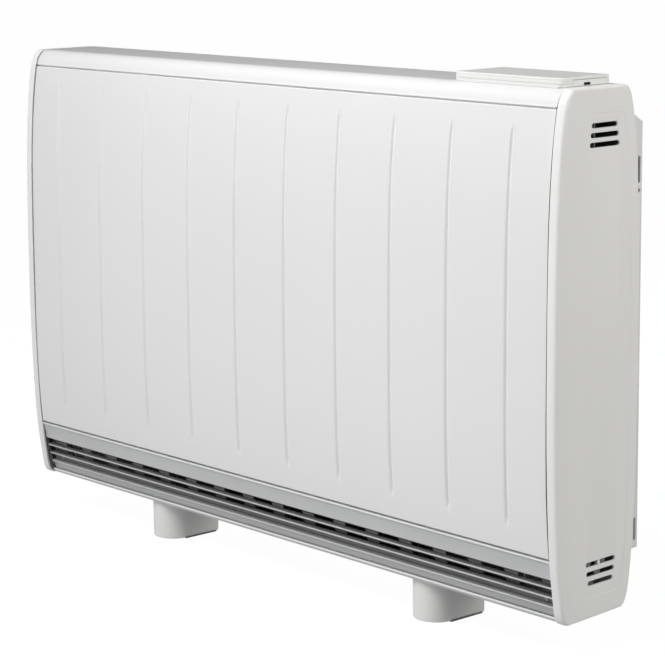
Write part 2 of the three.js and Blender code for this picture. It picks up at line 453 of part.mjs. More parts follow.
// -------------------------------------------------------------- electricals
{
  const wellsOf = (z) => solid(new THREE.CylinderGeometry(3, 3, 10, 10).rotateZ(Math.PI / 2).translate(482, 10, z));
  const block6 = cut(solid(block(462.4, 483, -6, 26, 82, 150)), ...[88, 99, 110, 121, 132, 143].map(wellsOf));
  add(electrics, 'terminal_block', block6, 'grey');

  const posts = [[-44, 554], [22, 554], [-44, 670], [22, 670]].map(([y, z]) => solid(new THREE.CylinderGeometry(3, 3, 7, 8).rotateZ(Math.PI / 2).translate(465.9, y, z)));
  const parts = [solid(block(468, 469.6, -50, 28, 548, 676)), solid(block(469, 486, -40, -16, 564, 590)), solid(block(469, 486, -8, 16, 564, 590)),
    solid(block(469, 490, -38, -8, 602, 640)), solid(block(469, 479, 0, 20, 602, 644)), solid(block(469, 482, -36, 16, 652, 664))];
  add(electrics, 'power_board', join(...parts, ...posts), 'board');

  const [gx, gz] = GLAND;
  const gland = new THREE.LatheGeometry([[4.5, -7], [7.6, -7], [7.6, 1.6], [11, 1.6], [11, 7], [9.4, 9.4], [9.4, 15], [6.5, 18.5], [4.5, 18.5], [4.5, -7]].map(([r, h]) => new THREE.Vector2(r, h)), 12);
  add(electrics, 'cable_gland', gland.translate(gx, REAR_Y - 1.2, gz), 'black');

  const cutout = cut(join(solid(block(462.4, 464, -46, -14, 300, 320)), solid(alongX(circle(-30, 310, 9, 14), 463, 478))), solid(alongX(circle(-30, 310, 3.4, 12), 471, 480)));
  add(electrics, 'thermal_cutout', cutout, 'black');
  const key = new THREE.LatheGeometry([[0, 0], [3, 0], [3, 8.2], [2.4, 9], [0, 9]].map(([r, h]) => new THREE.Vector2(r, h)), 12).rotateZ(-Math.PI / 2).translate(473.6, -30, 310);
  add(electrics, 'cutout_reset_button', key, 'grey');
}

export default group;
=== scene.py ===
import math

import bmesh
import bpy
import numpy as np
from mathutils import Matrix, Vector


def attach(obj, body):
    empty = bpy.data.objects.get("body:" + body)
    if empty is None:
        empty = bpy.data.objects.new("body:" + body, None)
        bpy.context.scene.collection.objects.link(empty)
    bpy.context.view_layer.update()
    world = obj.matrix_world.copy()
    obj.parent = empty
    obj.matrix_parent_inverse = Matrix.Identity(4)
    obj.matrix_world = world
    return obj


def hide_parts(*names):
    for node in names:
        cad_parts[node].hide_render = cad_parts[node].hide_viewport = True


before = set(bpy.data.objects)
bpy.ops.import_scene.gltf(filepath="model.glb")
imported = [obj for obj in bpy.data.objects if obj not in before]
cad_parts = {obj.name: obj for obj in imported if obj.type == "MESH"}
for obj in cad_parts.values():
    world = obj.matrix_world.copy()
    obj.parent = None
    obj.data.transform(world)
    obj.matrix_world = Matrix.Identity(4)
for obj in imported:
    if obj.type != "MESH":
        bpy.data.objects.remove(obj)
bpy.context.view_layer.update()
SCENE = bpy.context.scene
MM = 0.001

# ---------------------------------------------------------------- dimensions, mm
HALF_W = 540.0
INNER_W = 526.0
SHEET = 1.2
TOP_Z = 714.7
SEAM_Z = 691.6
JOINT = 0.9
SIDE_GAP = 1.7
PANEL_BOTTOM_Z = 141.8
REAR_Y = 48.1
CREASE_PITCH = 101.8
CREASE_TOP, CREASE_BOTTOM = 669.5, 170.6
FOOT_X = 275.3
LID_AXIS = (24.6, 719.4)

# ================================================================== camera
CAM_AT = Vector((2304.6166, -2079.5267, 942.4574)) * MM
CAM_RIGHT = Vector((0.68264417, 0.73070962, -0.00777121))
CAM_DOWN = Vector((0.11468590, -0.11763260, -0.98641255))
CAM_FWD = Vector((-0.72169528, 0.67247753, -0.16410330))
cam = bpy.data.cameras.new("camera")
cam.sensor_width = 36.0
cam.lens = 2266.0217782 / 665.0 * 36.0
cam.shift_x = -(344.2368605 - 332.5) / 665.0
cam.shift_y = (271.8599388 - 332.5) / 665.0
cam.clip_start, cam.clip_end = 0.05, 200.0
cam_ob = bpy.data.objects.new("camera", cam)
SCENE.collection.objects.link(cam_ob)
cam_ob.matrix_world = Matrix(((CAM_RIGHT.x, -CAM_DOWN.x, -CAM_FWD.x, CAM_AT.x), (CAM_RIGHT.y, -CAM_DOWN.y, -CAM_FWD.y, CAM_AT.y),
                              (CAM_RIGHT.z, -CAM_DOWN.z, -CAM_FWD.z, CAM_AT.z), (0, 0, 0, 1)))
SCENE.camera = cam_ob


# ================================================================== materials
def _ramp(nt, src, lo, hi, a, b):
    n = nt.nodes.new("ShaderNodeMapRange")
    n.inputs["From Min"].default_value, n.inputs["From Max"].default_value = lo, hi
    n.inputs["To Min"].default_value, n.inputs["To Max"].default_value = a, b
    nt.links.new(src, n.inputs["Value"])
    return n.outputs["Result"]


def _noise(nt, vec, scale, detail=3.0, rough=0.5, stretch=None):
    if stretch:
        m = nt.nodes.new("ShaderNodeMapping")
        m.inputs["Scale"].default_value = stretch
        nt.links.new(vec, m.inputs["Vector"])
        vec = m.outputs["Vector"]
    n = nt.nodes.new("ShaderNodeTexNoise")
    n.inputs["Scale"].default_value = scale
    n.inputs["Detail"].default_value = detail
    n.inputs["Roughness"].default_value = rough
    nt.links.new(vec, n.inputs["Vector"])
    return n.outputs["Fac"]


def _mix(nt, fac, a, b):
    n = nt.nodes.new("ShaderNodeMix")
    n.data_type = "RGBA"
    n.inputs[6].default_value = (*a, 1.0)
    n.inputs[7].default_value = (*b, 1.0)
    nt.links.new(fac, n.inputs[0])
    return n.outputs[2]


def material(name, color, rough, metal=0.0, tone=(5.0, 0.02), grain=None, peel=None, streak=None, spangle=None, rough_var=0.04, coat=0.0,
             coat_rough=0.08, specular=0.5, tint=None, weave=None):
    """A surface finish. tone: slow colour drift (scale, amount). grain and peel: (scale per metre, depth in metres) of fine and broad relief.
    streak: (stretch vector, scale, roughness swing, depth). spangle: (scale, amount). tint: colour mixed in by the slow drift."""
    m = bpy.data.materials.new(name)
    m.use_nodes = True
    nt = m.node_tree
    bsdf = nt.nodes["Principled BSDF"]
    co = nt.nodes.new("ShaderNodeTexCoord").outputs["Object"]
    scale, amount = tone
    drift = _noise(nt, co, scale, 4.0, 0.55)
    other = tint or tuple(min(1.0, c * (1.0 + amount)) for c in color)
    dark = tuple(c * (1.0 - amount) for c in color)
    fac = _ramp(nt, drift, 0.35, 0.65, 0.0, 1.0)
    if spangle:
        v = nt.nodes.new("ShaderNodeTexVoronoi")
        v.inputs["Scale"].default_value = spangle[0]
        nt.links.new(co, v.inputs["Vector"])
        sep = nt.nodes.new("ShaderNodeSeparateColor")
        nt.links.new(v.outputs["Color"], sep.inputs["Color"])
        fac = sep.outputs["Red"]
        dark = tuple(c * (1.0 - spangle[1]) for c in color)
        other = tuple(min(1.0, c * (1.0 + spangle[1])) for c in color)
    nt.links.new(_mix(nt, fac, dark, other), bsdf.inputs["Base Color"])
    rn = _noise(nt, co, 23.0 if not streak else streak[1], 3.0, 0.5, None if not streak else streak[0])
    swing = rough_var if not streak else streak[2]
    nt.links.new(_ramp(nt, rn, 0.3, 0.7, max(0.02, rough - swing), min(1.0, rough + swing)), bsdf.inputs["Roughness"])
    bsdf.inputs["Metallic"].default_value = metal
    bsdf.inputs["Specular IOR Level"].default_value = specular
    bsdf.inputs["Coat Weight"].default_value = coat
    bsdf.inputs["Coat Roughness"].default_value = coat_rough
    normal = None
    layers = []
    if grain:
        layers.append((_noise(nt, co, grain[0], 2.0, 0.6), grain[1]))
    if peel:
        layers.append((_noise(nt, co, peel[0], 1.0, 0.4), peel[1]))
    if streak and streak[3]:
        layers.append((rn, streak[3]))
    if weave:
        for axis in (0, 2):
            w = nt.nodes.new("ShaderNodeTexWave")
            w.bands_direction = "XYZ"[axis]
            w.inputs["Scale"].default_value = weave[0]
            nt.links.new(co, w.inputs["Vector"])
            layers.append((w.outputs["Fac"], weave[1]))
    for height, depth in layers:
        b = nt.nodes.new("ShaderNodeBump")
        b.inputs["Strength"].default_value = 1.0
        b.inputs["Distance"].default_value = depth
        nt.links.new(height, b.inputs["Height"])
        if normal:
            nt.links.new(normal, b.inputs["Normal"])
        normal = b.outputs["Normal"]
    if normal:
        nt.links.new(normal, bsdf.inputs["Normal"])
    return m


ENAMEL = material("white_enamel", (0.80, 0.80, 0.80), 0.34, tone=(3.0, 0.008), peel=(260.0, 0.000012), grain=(1500.0, 0.000003), rough_var=0.03, coat=0.45, coat_rough=0.16)
PLASTIC = material("white_plastic", (0.83, 0.83, 0.815), 0.46, tone=(4.0, 0.010), grain=(1900.0, 0.000010), rough_var=0.04)
CONTROL_PLASTIC = material("control_plastic", (0.84, 0.84, 0.83), 0.36, tone=(6.0, 0.010), grain=(1900.0, 0.000006), rough_var=0.03, coat=0.35, coat_rough=0.20)
RUBBER = material("foot_pad", (0.155, 0.155, 0.155), 0.70, tone=(30.0, 0.05), grain=(900.0, 0.00002), rough_var=0.05)
FOOT_PLASTIC = material("foot_plastic", (0.78, 0.78, 0.77), 0.42, tone=(9.0, 0.010), grain=(1500.0, 0.000008), rough_var=0.04)
SILVER = material("silver_grille", (0.62, 0.625, 0.63), 0.42, metal=0.35, tone=(8.0, 0.02), grain=(2200.0, 0.000004), streak=((1.0, 90.0, 90.0), 12.0, 0.06, 0.000002))
# A lighter copy of the silver: painted highlight on the edges of the two lips.
LIP_HIGHLIGHT = material("grille_painted_highlight", (0.82, 0.823, 0.826), 0.36, metal=0.15, tone=(8.0, 0.02), grain=(2200.0, 0.000004), streak=((1.0, 90.0, 90.0), 12.0, 0.06, 0.000002))
# A darker copy of the silver: painted shade on the recessed strips of the grille.
SHADE = material("grille_painted_shade", (0.54, 0.543, 0.546), 0.50, metal=0.20, tone=(8.0, 0.02), grain=(2200.0, 0.000004), streak=((1.0, 90.0, 90.0), 12.0, 0.06, 0.000002))
# A still darker copy of the silver: painted deep shade on the lower part of the blank strip.
STRIP_DEEP_SHADE = material("grille_painted_deep_shade", (0.28, 0.281, 0.283), 0.55, metal=0.20, tone=(10.0, 0.04), grain=(1500.0, 0.000006), streak=((1.0, 90.0, 90.0), 12.0, 0.06, 0.000002))
# A dark grey copy of the silver: painted shade on the fin faces inside the recess.
FIN_SHADE = material("grille_fin_painted_shade", (0.17, 0.17, 0.17), 0.60, metal=0.20, tone=(14.0, 0.06), grain=(900.0, 0.000010), rough_var=0.06)
DARK = material("dark_sheet", (0.22, 0.222, 0.226), 0.55, metal=0.20, tone=(14.0, 0.08), grain=(900.0, 0.000010), rough_var=0.07)
GALV = material("galvanised", (0.42, 0.43, 0.44), 0.42, metal=0.85, spangle=(160.0, 0.10), grain=(700.0, 0.000004), rough_var=0.08)
BRACKET = material("bracket_coat", (0.76, 0.765, 0.77), 0.48, metal=0.10, tone=(12.0, 0.03), grain=(1100.0, 0.000008), rough_var=0.06)
SCREW = material("screw_steel", (0.50, 0.50, 0.49), 0.30, metal=0.95, tone=(300.0, 0.05), grain=(2500.0, 0.000003))
INSUL = material("insulation_board", (0.66, 0.62, 0.53), 0.95, tone=(18.0, 0.06), grain=(500.0, 0.00006), weave=(130.0, 0.00008))
BRICK = material("storage_brick", (0.13, 0.105, 0.09), 0.90, tone=(30.0, 0.25), tint=(0.20, 0.15, 0.12), grain=(420.0, 0.00030), peel=(60.0, 0.00050))
ELEMENT = material("element_steel", (0.30, 0.29, 0.28), 0.40, metal=0.85, tone=(9.0, 0.12), tint=(0.34, 0.26, 0.20), grain=(900.0, 0.000008))
STEEL = material("machine_steel", (0.45, 0.46, 0.47), 0.33, metal=0.95, tone=(25.0, 0.04), streak=((1.0, 60.0, 60.0), 20.0, 0.08, 0.000003))
BLACK = material("black_plastic", (0.028, 0.029, 0.031), 0.48, tone=(20.0, 0.10), grain=(1600.0, 0.000012))
BOARD = material("circuit_board", (0.035, 0.150, 0.075), 0.38, tone=(60.0, 0.15), tint=(0.05, 0.20, 0.10), grain=(900.0, 0.000010))
GLASS = material("display_dark", (0.020, 0.023, 0.024), 0.08, tone=(10.0, 0.04), rough_var=0.02, coat=0.6, coat_rough=0.03)
LCD = material("display_panel", (0.22, 0.25, 0.22), 0.22, tone=(40.0, 0.03), rough_var=0.03, coat=0.8, coat_rough=0.03)
GREY = material("grey_plastic", (0.29, 0.30, 0.31), 0.45, tone=(12.0, 0.03), grain=(1700.0, 0.000010))
KEY = material("key_plastic", (0.60, 0.61, 0.61), 0.40, tone=(60.0, 0.015), grain=(1700.0, 0.000008))
# A dark grey for the white plastic ribs set back inside the vents: painted shade.
VENT_SHADE = material("vent_painted_shade", (0.20, 0.20, 0.195), 0.60, tone=(20.0, 0.06), grain=(1200.0, 0.00002), rough_var=0.05)
# Near-black painted shade: put on the sheet ends, the grille cheeks and ties, and inside the socket, where shade falls.
SHADE_BLACK = material("painted_shade_black", (0.022, 0.022, 0.024), 0.85, tone=(30.0, 0.10), grain=(800.0, 0.00002))
FLOOR = material("floor", (0.10, 0.10, 0.10), 0.62, tone=(0.6, 0.004), grain=(60.0, 0.00002), rough_var=0.03, specular=0.15)


# ================================================================== mesh helpers
def tidy(me, dist=1e-6):
    bm = bmesh.new()
    bm.from_mesh(me)
    bmesh.ops.remove_doubles(bm, verts=bm.verts, dist=dist)
    bmesh.ops.dissolve_degenerate(bm, dist=1e-7, edges=bm.edges)
    bmesh.ops.recalc_face_normals(bm, faces=bm.faces)
    bm.to_mesh(me)
    bm.free()


def raw(name, verts, faces):
    me = bpy.data.meshes.new(name)
    me.from_pydata([(x * MM, y * MM, z * MM) for x, y, z in verts], [], faces)
    tidy(me)
    o = bpy.data.objects.new(name, me)
    SCENE.collection.objects.link(o)
    return o


def apply(o):
    dg = bpy.context.evaluated_depsgraph_get()
    me = bpy.data.meshes.new_from_object(o.evaluated_get(dg))
    old = o.data
    o.modifiers.clear()
    o.data = me
    bpy.data.meshes.remove(old)
    return o


def drop(o):
    me = o.data
    bpy.data.objects.remove(o)
    bpy.data.meshes.remove(me)


def boolean(o, tool, op="DIFFERENCE"):
    m = o.modifiers.new("cut", "BOOLEAN")
    m.object, m.operation, m.solver = tool, op, "EXACT"
    apply(o)
    drop(tool)
    tidy(o.data)
    return o


def join(*objs):
    for t in objs[1:]:
        boolean(objs[0], t, "UNION")
    return objs[0]


def together(name, *objs):
    """Several closed shells as one mesh, each kept as it is."""
    bm = bmesh.new()
    for o in objs:
        bm.from_mesh(o.data)
    me = bpy.data.meshes.new(name)
    bm.to_mesh(me)
    bm.free()
    for o in objs:
        drop(o)
    out = bpy.data.objects.new(name, me)
    SCENE.collection.objects.link(out)
    return out


def soften(o, width, segments=3, angle=38.0):
    m = o.modifiers.new("edge", "BEVEL")
    m.width, m.segments, m.limit_method, m.angle_limit = width * MM, segments, "ANGLE", math.radians(angle)
    m.use_clamp_overlap = True
    m.miter_outer = "MITER_ARC"
    apply(o)
    tidy(o.data, 2e-6)
    return o


def moved(o, fn):
    for v in o.data.vertices:
        v.co = Vector(fn(v.co.x / MM, v.co.y / MM, v.co.z / MM)) * MM
    o.data.update()
    tidy(o.data)
    return o


def copy_mirrored(o, name):
    me = o.data.copy()
    me.transform(Matrix.Scale(-1, 4, (1, 0, 0)))
    me.name = name
    tidy(me)
    out = bpy.data.objects.new(name, me)
    SCENE.collection.objects.link(out)
    return out


def piece(o, name, mat, body="chassis", nodes=None, angle=32.0):
    o.name = name
    o.data.name = name
    if not o.data.materials:
        o.data.materials.append(mat)
    o.data.shade_smooth()
    o.data.set_sharp_from_angle(angle=math.radians(angle))
    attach(o, body)
    if nodes:
        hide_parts(*nodes)
    return o


# ---- outlines
def arc(a, b, r, t0, t1, n):
    return [(a + r * math.cos(math.radians(t0 + (t1 - t0) * i / n)), b + r * math.sin(math.radians(t0 + (t1 - t0) * i / n))) for i in range(n + 1)]


def circle(a, b, r, n=32):
    return [(a + r * math.cos(2 * math.pi * i / n), b + r * math.sin(2 * math.pi * i / n)) for i in range(n)]


def rrect(a0, a1, b0, b1, r, n=6):
    return arc(a1 - r, b0 + r, r, -90, 0, n) + arc(a1 - r, b1 - r, r, 0, 90, n) + arc(a0 + r, b1 - r, r, 90, 180, n) + arc(a0 + r, b0 + r, r, 180, 270, n)


def fillet(pts, r, n=6, closed=True):
    out, m = [], len(pts)
    for i, q in enumerate(pts):
        rad = r[i] if isinstance(r, (list, tuple)) else r
        if rad <= 0 or (not closed and i in (0, m - 1)):
            out.append(tuple(q))
            continue
        p = Vector(q)
        a, b = Vector(pts[i - 1]) - p, Vector(pts[(i + 1) % m]) - p
        la, lb = a.length, b.length
        a.normalize()
        b.normalize()
        ang = math.acos(max(-1.0, min(1.0, a.dot(b))))
        if ang > math.pi - 0.02:
            out.append(tuple(q))
            continue
        d = min(rad / math.tan(ang / 2), 0.49 * la, 0.49 * lb)
        rr = d * math.tan(ang / 2)
        c = p + (a + b).normalized() * (rr / math.sin(ang / 2))
        s, e = p + a * d - c, p + b * d - c
        a0 = math.atan2(s.y, s.x)
        da = (math.atan2(e.y, e.x) - a0 + math.pi) % (2 * math.pi) - math.pi
        out += [(c.x + rr * math.cos(a0 + da * k / n), c.y + rr * math.sin(a0 + da * k / n)) for k in range(n + 1)]
    return out


def normals2(pts, closed):
    """Left-hand normals of a polyline."""
    m, out = len(pts), []
    for i in range(m):
        p = pts[i - 1] if (closed or i > 0) else pts[0]
        q = pts[(i + 1) % m] if (closed or i < m - 1) else pts[-1]
        here = pts[i]
        u = Vector((here[0] - p[0], here[1] - p[1]))
        v = Vector((q[0] - here[0], q[1] - here[1]))
        u = u.normalized() if u.length > 1e-9 else v.normalized()
        v = v.normalized() if v.length > 1e-9 else u
        nu, nv = Vector((-u.y, u.x)), Vector((-v.y, v.x))
        n = (nu + nv).normalized()
        out.append(n / max(0.6, n.dot(nu)))
    return out


def offset(pts, d, closed=True):
    return [(p[0] + n.x * d, p[1] + n.y * d) for p, n in zip(pts, normals2(pts, closed))]


def thick(path, t):
    """The closed section of a folded sheet: the path is one face, the other lies t to its right."""
    return list(path) + offset(path, -t, False)[::-1]


def spline(pts, sub=6, closed=True):
    out, m = [], len(pts)
    for i in range(m if closed else m - 1):
        p = [Vector(pts[(i + k) % m] if closed else pts[min(max(i + k, 0), m - 1)]) for k in (-1, 0, 1, 2)]
        for s in range(sub):
            t = s / sub
            v = 0.5 * ((2 * p[1]) + (p[2] - p[0]) * t + (2 * p[0] - 5 * p[1] + 4 * p[2] - p[3]) * t * t + (3 * p[1] - p[0] - 3 * p[2] + p[3]) * t ** 3)
            out.append((v.x, v.y))
    if not closed:
        out.append(tuple(pts[-1]))
    return out


def resample(pts, n, last=False):
    a = np.array(pts, float)
    s = np.concatenate([[0], np.cumsum(np.linalg.norm(np.diff(a, axis=0), axis=1))])
    t = np.linspace(0, s[-1], n + 1)
    r = [(float(np.interp(x, s, a[:, 0])), float(np.interp(x, s, a[:, 1]))) for x in t]
    return r if last else r[:-1]


# ---- solids
def prism(axis, outline, c0, c1, name="prism"):
    n = len(outline)
    at = {"x": lambda a, b, c: (c, a, b), "y": lambda a, b, c: (a, c, b), "z": lambda a, b, c: (a, b, c)}[axis]
    verts = [at(a, b, c0) for a, b in outline] + [at(a, b, c1) for a, b in outline]
    faces = [[i, (i + 1) % n, n + (i + 1) % n, n + i] for i in range(n)] + [list(range(n)), list(range(n, 2 * n))]
    return raw(name, verts, faces)


def box(x0, x1, y0, y1, z0, z1):
    return prism("z", [(x0, y0), (x1, y0), (x1, y1), (x0, y1)], z0, z1)


def loft(loops, name="loft", caps=(True, True)):
    n = len(loops[0])
    verts = [p for lp in loops for p in lp]
    faces = []
    for k in range(len(loops) - 1):
        a, b = k * n, (k + 1) * n
        faces += [[a + i, a + (i + 1) % n, b + (i + 1) % n, b + i] for i in range(n)]
    if caps[0]:
        faces.append(list(range(n)))
    if caps[1]:
        faces.append(list(range((len(loops) - 1) * n, len(loops) * n)))
    return raw(name, verts, faces)


def lathe(profile, axis, at, n=48, name="lathe", ripple=None):
    """profile: (radius, height) pairs, closed on itself or ending on the axis. ripple(angle, height) scales the radius."""
    loops = []
    for r, h in profile:
        ring = []
        for i in range(n):
            t = 2 * math.pi * i / n
            k = ripple(t, h) if ripple else 1.0
            a, b = r * k * math.cos(t), r * k * math.sin(t)
            ring.append({"x": (h, a, b), "y": (a, h, b), "z": (a, b, h)}[axis])
        loops.append([(p[0] + at[0], p[1] + at[1], p[2] + at[2]) for p in ring])
    closed = profile[0] == profile[-1]
    return loft(loops, name, (not closed, not closed))


def pressed(path, xs, t, disp=None, name="sheet", edge=0.55):
    """A thin sheet: an open (y, z) path, its outer face on the left, swept over the columns xs. disp(x, y, z) pushes it outward."""
    nrm = normals2(path, False)
    x_lo, x_hi = xs[0], xs[-1]
    outer, inner = [], []
    for (y, z), n in zip(path, nrm):
        ro, ri = [], []
        for x in xs:
            e = min(x - x_lo, x_hi - x)
            roll = 0.0
            if e < edge:
                roll = edge - math.sqrt(max(0.0, edge * edge - (edge - e) ** 2))
            d = disp(x, y, z) if disp else 0.0
            ro.append((x, y + n.x * (d - roll), z + n.y * (d - roll)))
            ri.append((x, y + n.x * (d - t), z + n.y * (d - t)))
        outer.append(ro)
        inner.append(ri)
    R, C = len(path), len(xs)
    verts = [p for r in outer for p in r] + [p for r in inner for p in r]
    o, i2 = lambda r, c: r * C + c, lambda r, c: R * C + r * C + c
    faces = []
    for r in range(R - 1):
        for c in range(C - 1):
            faces.append([o(r, c), o(r, c + 1), o(r + 1, c + 1), o(r + 1, c)])
            faces.append([i2(r, c), i2(r + 1, c), i2(r + 1, c + 1), i2(r, c + 1)])
        faces.append([o(r, 0), o(r + 1, 0), i2(r + 1, 0), i2(r, 0)])
        faces.append([o(r, C - 1), i2(r, C - 1), i2(r + 1, C - 1), o(r + 1, C - 1)])
    for c in range(C - 1):
        faces.append([o(0, c), i2(0, c), i2(0, c + 1), o(0, c + 1)])
        faces.append([o(R - 1, c), o(R - 1, c + 1), i2(R - 1, c + 1), i2(R - 1, c)])
    return raw(name, verts, faces)


def step(t):
    t = max(0.0, min(1.0, t))
    return t * t * (3 - 2 * t)


# ================================================================== front panel
def front_y(z):
    u = (z - 400) / 300
    return -91.5 + 1.5 * u + 2.0 * u * u + 0.3 * u ** 3 + 13.3 * u ** 4


def lines_x(lo, hi, coarse=13.0, edge=True):
    """Columns: coarse everywhere, close together over each pressed line, and at the two rolled ends."""
    xs = set()
    n = int(round((hi - lo) / coarse))
    xs.update(round(lo + (hi - lo) * i / n, 4) for i in range(n + 1))
    fine = (0, 0.35, 0.7, 1.1, 1.5, 1.95, 2.4, 2.9, 3.4, 4.0, 4.7, 5.6, 6.8, 8.3)
    for i in range(10):
        c = CREASE_PITCH * (i - 4.5)
        xs = {x for x in xs if abs(x - c) > 10}
        for f in fine:
            xs.update((round(c - f, 4), round(c + f, 4)))
    for f in (0.0, 0.05, 0.16, 0.33, 0.58, 0.9):
        xs.update((lo + f, hi - f))
    return sorted(xs)


GROOVE_DEPTH, GROOVE_WIDTH = 2.7, 2.55


def crease(x, y, z):
    k = round(x / CREASE_PITCH + 4.5)
    c = CREASE_PITCH * (min(max(k, 0), 9) - 4.5)
    e = x - c
    if abs(e) > 8.4 or z > CREASE_TOP + 4 or z < CREASE_BOTTOM - 4 or y > -60:
        return 0.0
    taper = step((CREASE_TOP + 2 - z) / 16) * step((z - CREASE_BOTTOM + 2) / 16)
    return -taper * GROOVE_DEPTH * math.exp(-(e / GROOVE_WIDTH) ** 2)


z_top = SEAM_Z - JOINT
face = [(front_y(z), z) for z in np.concatenate([np.linspace(PANEL_BOTTOM_Z + 2.2, CREASE_BOTTOM - 3, 6), np.linspace(CREASE_BOTTOM - 1, CREASE_BOTTOM + 18, 10),
                                                 np.linspace(196, 640, 40), np.linspace(CREASE_TOP - 20, CREASE_TOP + 3, 12), np.linspace(676, z_top - 2.6, 6)])]
low = fillet([(-71, PANEL_BOTTOM_Z), (front_y(PANEL_BOTTOM_Z), PANEL_BOTTOM_Z), face[0]], [0, 1.7, 0], 7, False)[:-1]
high = fillet([face[-1], (front_y(z_top), z_top), (-63, z_top)], [0, 2.2, 0], 7, False)[1:]
front = pressed(low + face + high, lines_x(-INNER_W + SIDE_GAP, INNER_W - SIDE_GAP), SHEET, crease, edge=0.9)
for s in (-1, 1):   # relief notches at the two upper corners
    boolean(front, box(*sorted((s * 523.7, s * 527)), -95, -60, 689.2, 693))


def shade_painted_ends(o):
    """The cut ends of a sheet stand in the joint to the end panel; they are painted near-black, as painted shade for
    the shadowed joint.
    """
    o.data.materials.append(ENAMEL)
    o.data.materials.append(SHADE_BLACK)
    for f in o.data.polygons:
        if abs(f.center.x) > (INNER_W - SIDE_GAP - 0.35) * MM and abs(f.normal.x) > 0.8:
            f.material_index = 1


shade_painted_ends(front)
piece(front, "front_panel_steel", ENAMEL, nodes=["front_panel"], angle=50)

# ================================================================== top panel
z0 = SEAM_Z + JOINT
roll = spline([(front_y(z0) + 0.05, z0 + 1.5), (-74.9, 695.4), (-73.3, 700.0), (-70.6, 705.0), (-66.9, 709.6), (-62.4, 713.0), (-57.0, 714.55), (-52.0, TOP_Z)], 5, False)
back = spline([(33.0, TOP_Z), (37.0, 714.4), (41.2, 713.3), (45.2, 710.4), (48.0, 706.0), (49.4, 700.0), (49.6, 696.0)], 5, False)
path = fillet([(-63, z0), (front_y(z0), z0), roll[0]], [0, 1.2, 0], 6, False)[:-1] + roll + [(-30, TOP_Z), (0, TOP_Z)] + back + [(49.6, 690.0)]
TW = INNER_W - SIDE_GAP
xs = sorted({round(-TW + 2 * TW * i / 60, 3) for i in range(61)} | {s * (TW - f) for f in (0.05, 0.16, 0.33, 0.58, 0.9) for s in (-1, 1)})
top = pressed(path, xs, SHEET, edge=0.9)
yl = front_y(SEAM_Z) + 2.2
boolean(top, prism("x", fillet([(yl, z0 + 0.6), (yl, z_top + 0.3), (yl + 1.2, z_top + 0.3), (yl + 1.2, z0 + 0.6)], [0, 0.4, 0.4, 0], 4), -521, 521), "UNION")
boolean(top,prism("z", rrect(350.5, 513.5, -52.5, 13.5, 2.0), 706, 722))
shade_painted_ends(top)
piece(top, "top_panel_steel", ENAMEL, nodes=["top_panel"], angle=50)

# ================================================================== end panels
END = [(-57, 56.5), (-20, 57.3), (32, 58.6), (38.2, 60), (42.6, 64.2), (46.6, 73), (50.4, 89), (54.2, 119), (57.6, 160), (60.2, 215), (62.2, 290), (63.6, 390),
       (63.0, 470), (61.1, 545), (58.3, 605), (55.9, 640), (52.7, 663), (49.5, 682), (46.6, 695), (44.0, 704.2), (41.4, 709.4), (37.2, 713.2), (31, 714.7),
       (-15, 714.7), (-59, 714.7), (-65, 712.9), (-69.6, 709.2), (-73.3, 703), (-76.2, 695.5), (-79.4, 680), (-82.6, 658), (-85.6, 628), (-88.2, 592),
       (-90.6, 540), (-92, 475), (-92.5, 400), (-92.4, 320), (-91.2, 250), (-89.1, 195), (-86.2, 148), (-83.1, 118), (-80.1, 98), (-77.2, 78), (-74.8, 67),
       (-71.2, 60.2), (-65.4, 57)]
VENTS = [(-29.5, 17.2, 668.6), (-31.3, 19.6, 656.8), (-32.6, 21.4, 645.2), (-32.5, 21.7, 126.7), (-31.2, 20.2, 114.4), (-28.6, 17.6, 102.4)]


def near(pts, q):
    return min(range(len(pts)), key=lambda i: (pts[i][0] - q[0]) ** 2 + (pts[i][1] - q[1]) ** 2)


dense = spline(END, 10)
marks = [near(dense, q) for q in ((-72.6, 62.2), (40.5, 61.8), (40.6, 710.3), (-68, 710.8))]
SIDE_N = (44, 110, 44, 110)   # bottom, rear, top, front


def sides(pts, idx):
    m = len(pts)
    out = []
    for k in range(4):
        a, b = idx[k], idx[(k + 1) % 4]
        run = [pts[i % m] for i in range(a, (b if b > a else b + m) + 1)]
        out += resample(run, SIDE_N[k])
    return out


rim = sides(dense, marks)
# The shallow raised field in the middle of each end.
field_sides = [
    [(-34.0, 85.3), (22.5, 85.3)],
    [(28.0, 91.0), (36.5, 119), (40.5, 160), (43.3, 215), (45.6, 290), (46.6, 390), (46.0, 450), (44.5, 517), (42.0, 575), (38.6, 625), (34.4, 655), (29.6, 677)],
    [(24.5, 682.0), (-30.0, 684.0)],
    [(-35.2, 679.0), (-40.0, 620), (-44.3, 530), (-47.6, 440), (-49.0, 365), (-49.0, 280), (-47.8, 215), (-46.0, 165), (-42.6, 120), (-38.5, 91.0)]]
field = []
for k, s in enumerate(field_sides):
    nxt = field_sides[(k + 1) % 4][0]
    run = spline(s, 8, False) if len(s) > 2 else list(s)
    corner = [((s[-1][0] + nxt[0]) / 2 * 0.5 + (s[-1][0] if k in (1, 3) else nxt[0]) * 0.5, (s[-1][1] + nxt[1]) / 2 * 0.5 + (nxt[1] if k in (1, 3) else s[-1][1]) * 0.5)]
    field += resample(run + corner + [nxt], SIDE_N[k])


def ring(pts, x, d=0.0):
    return [(x, y, z) for y, z in (offset(pts, d) if d else pts)]


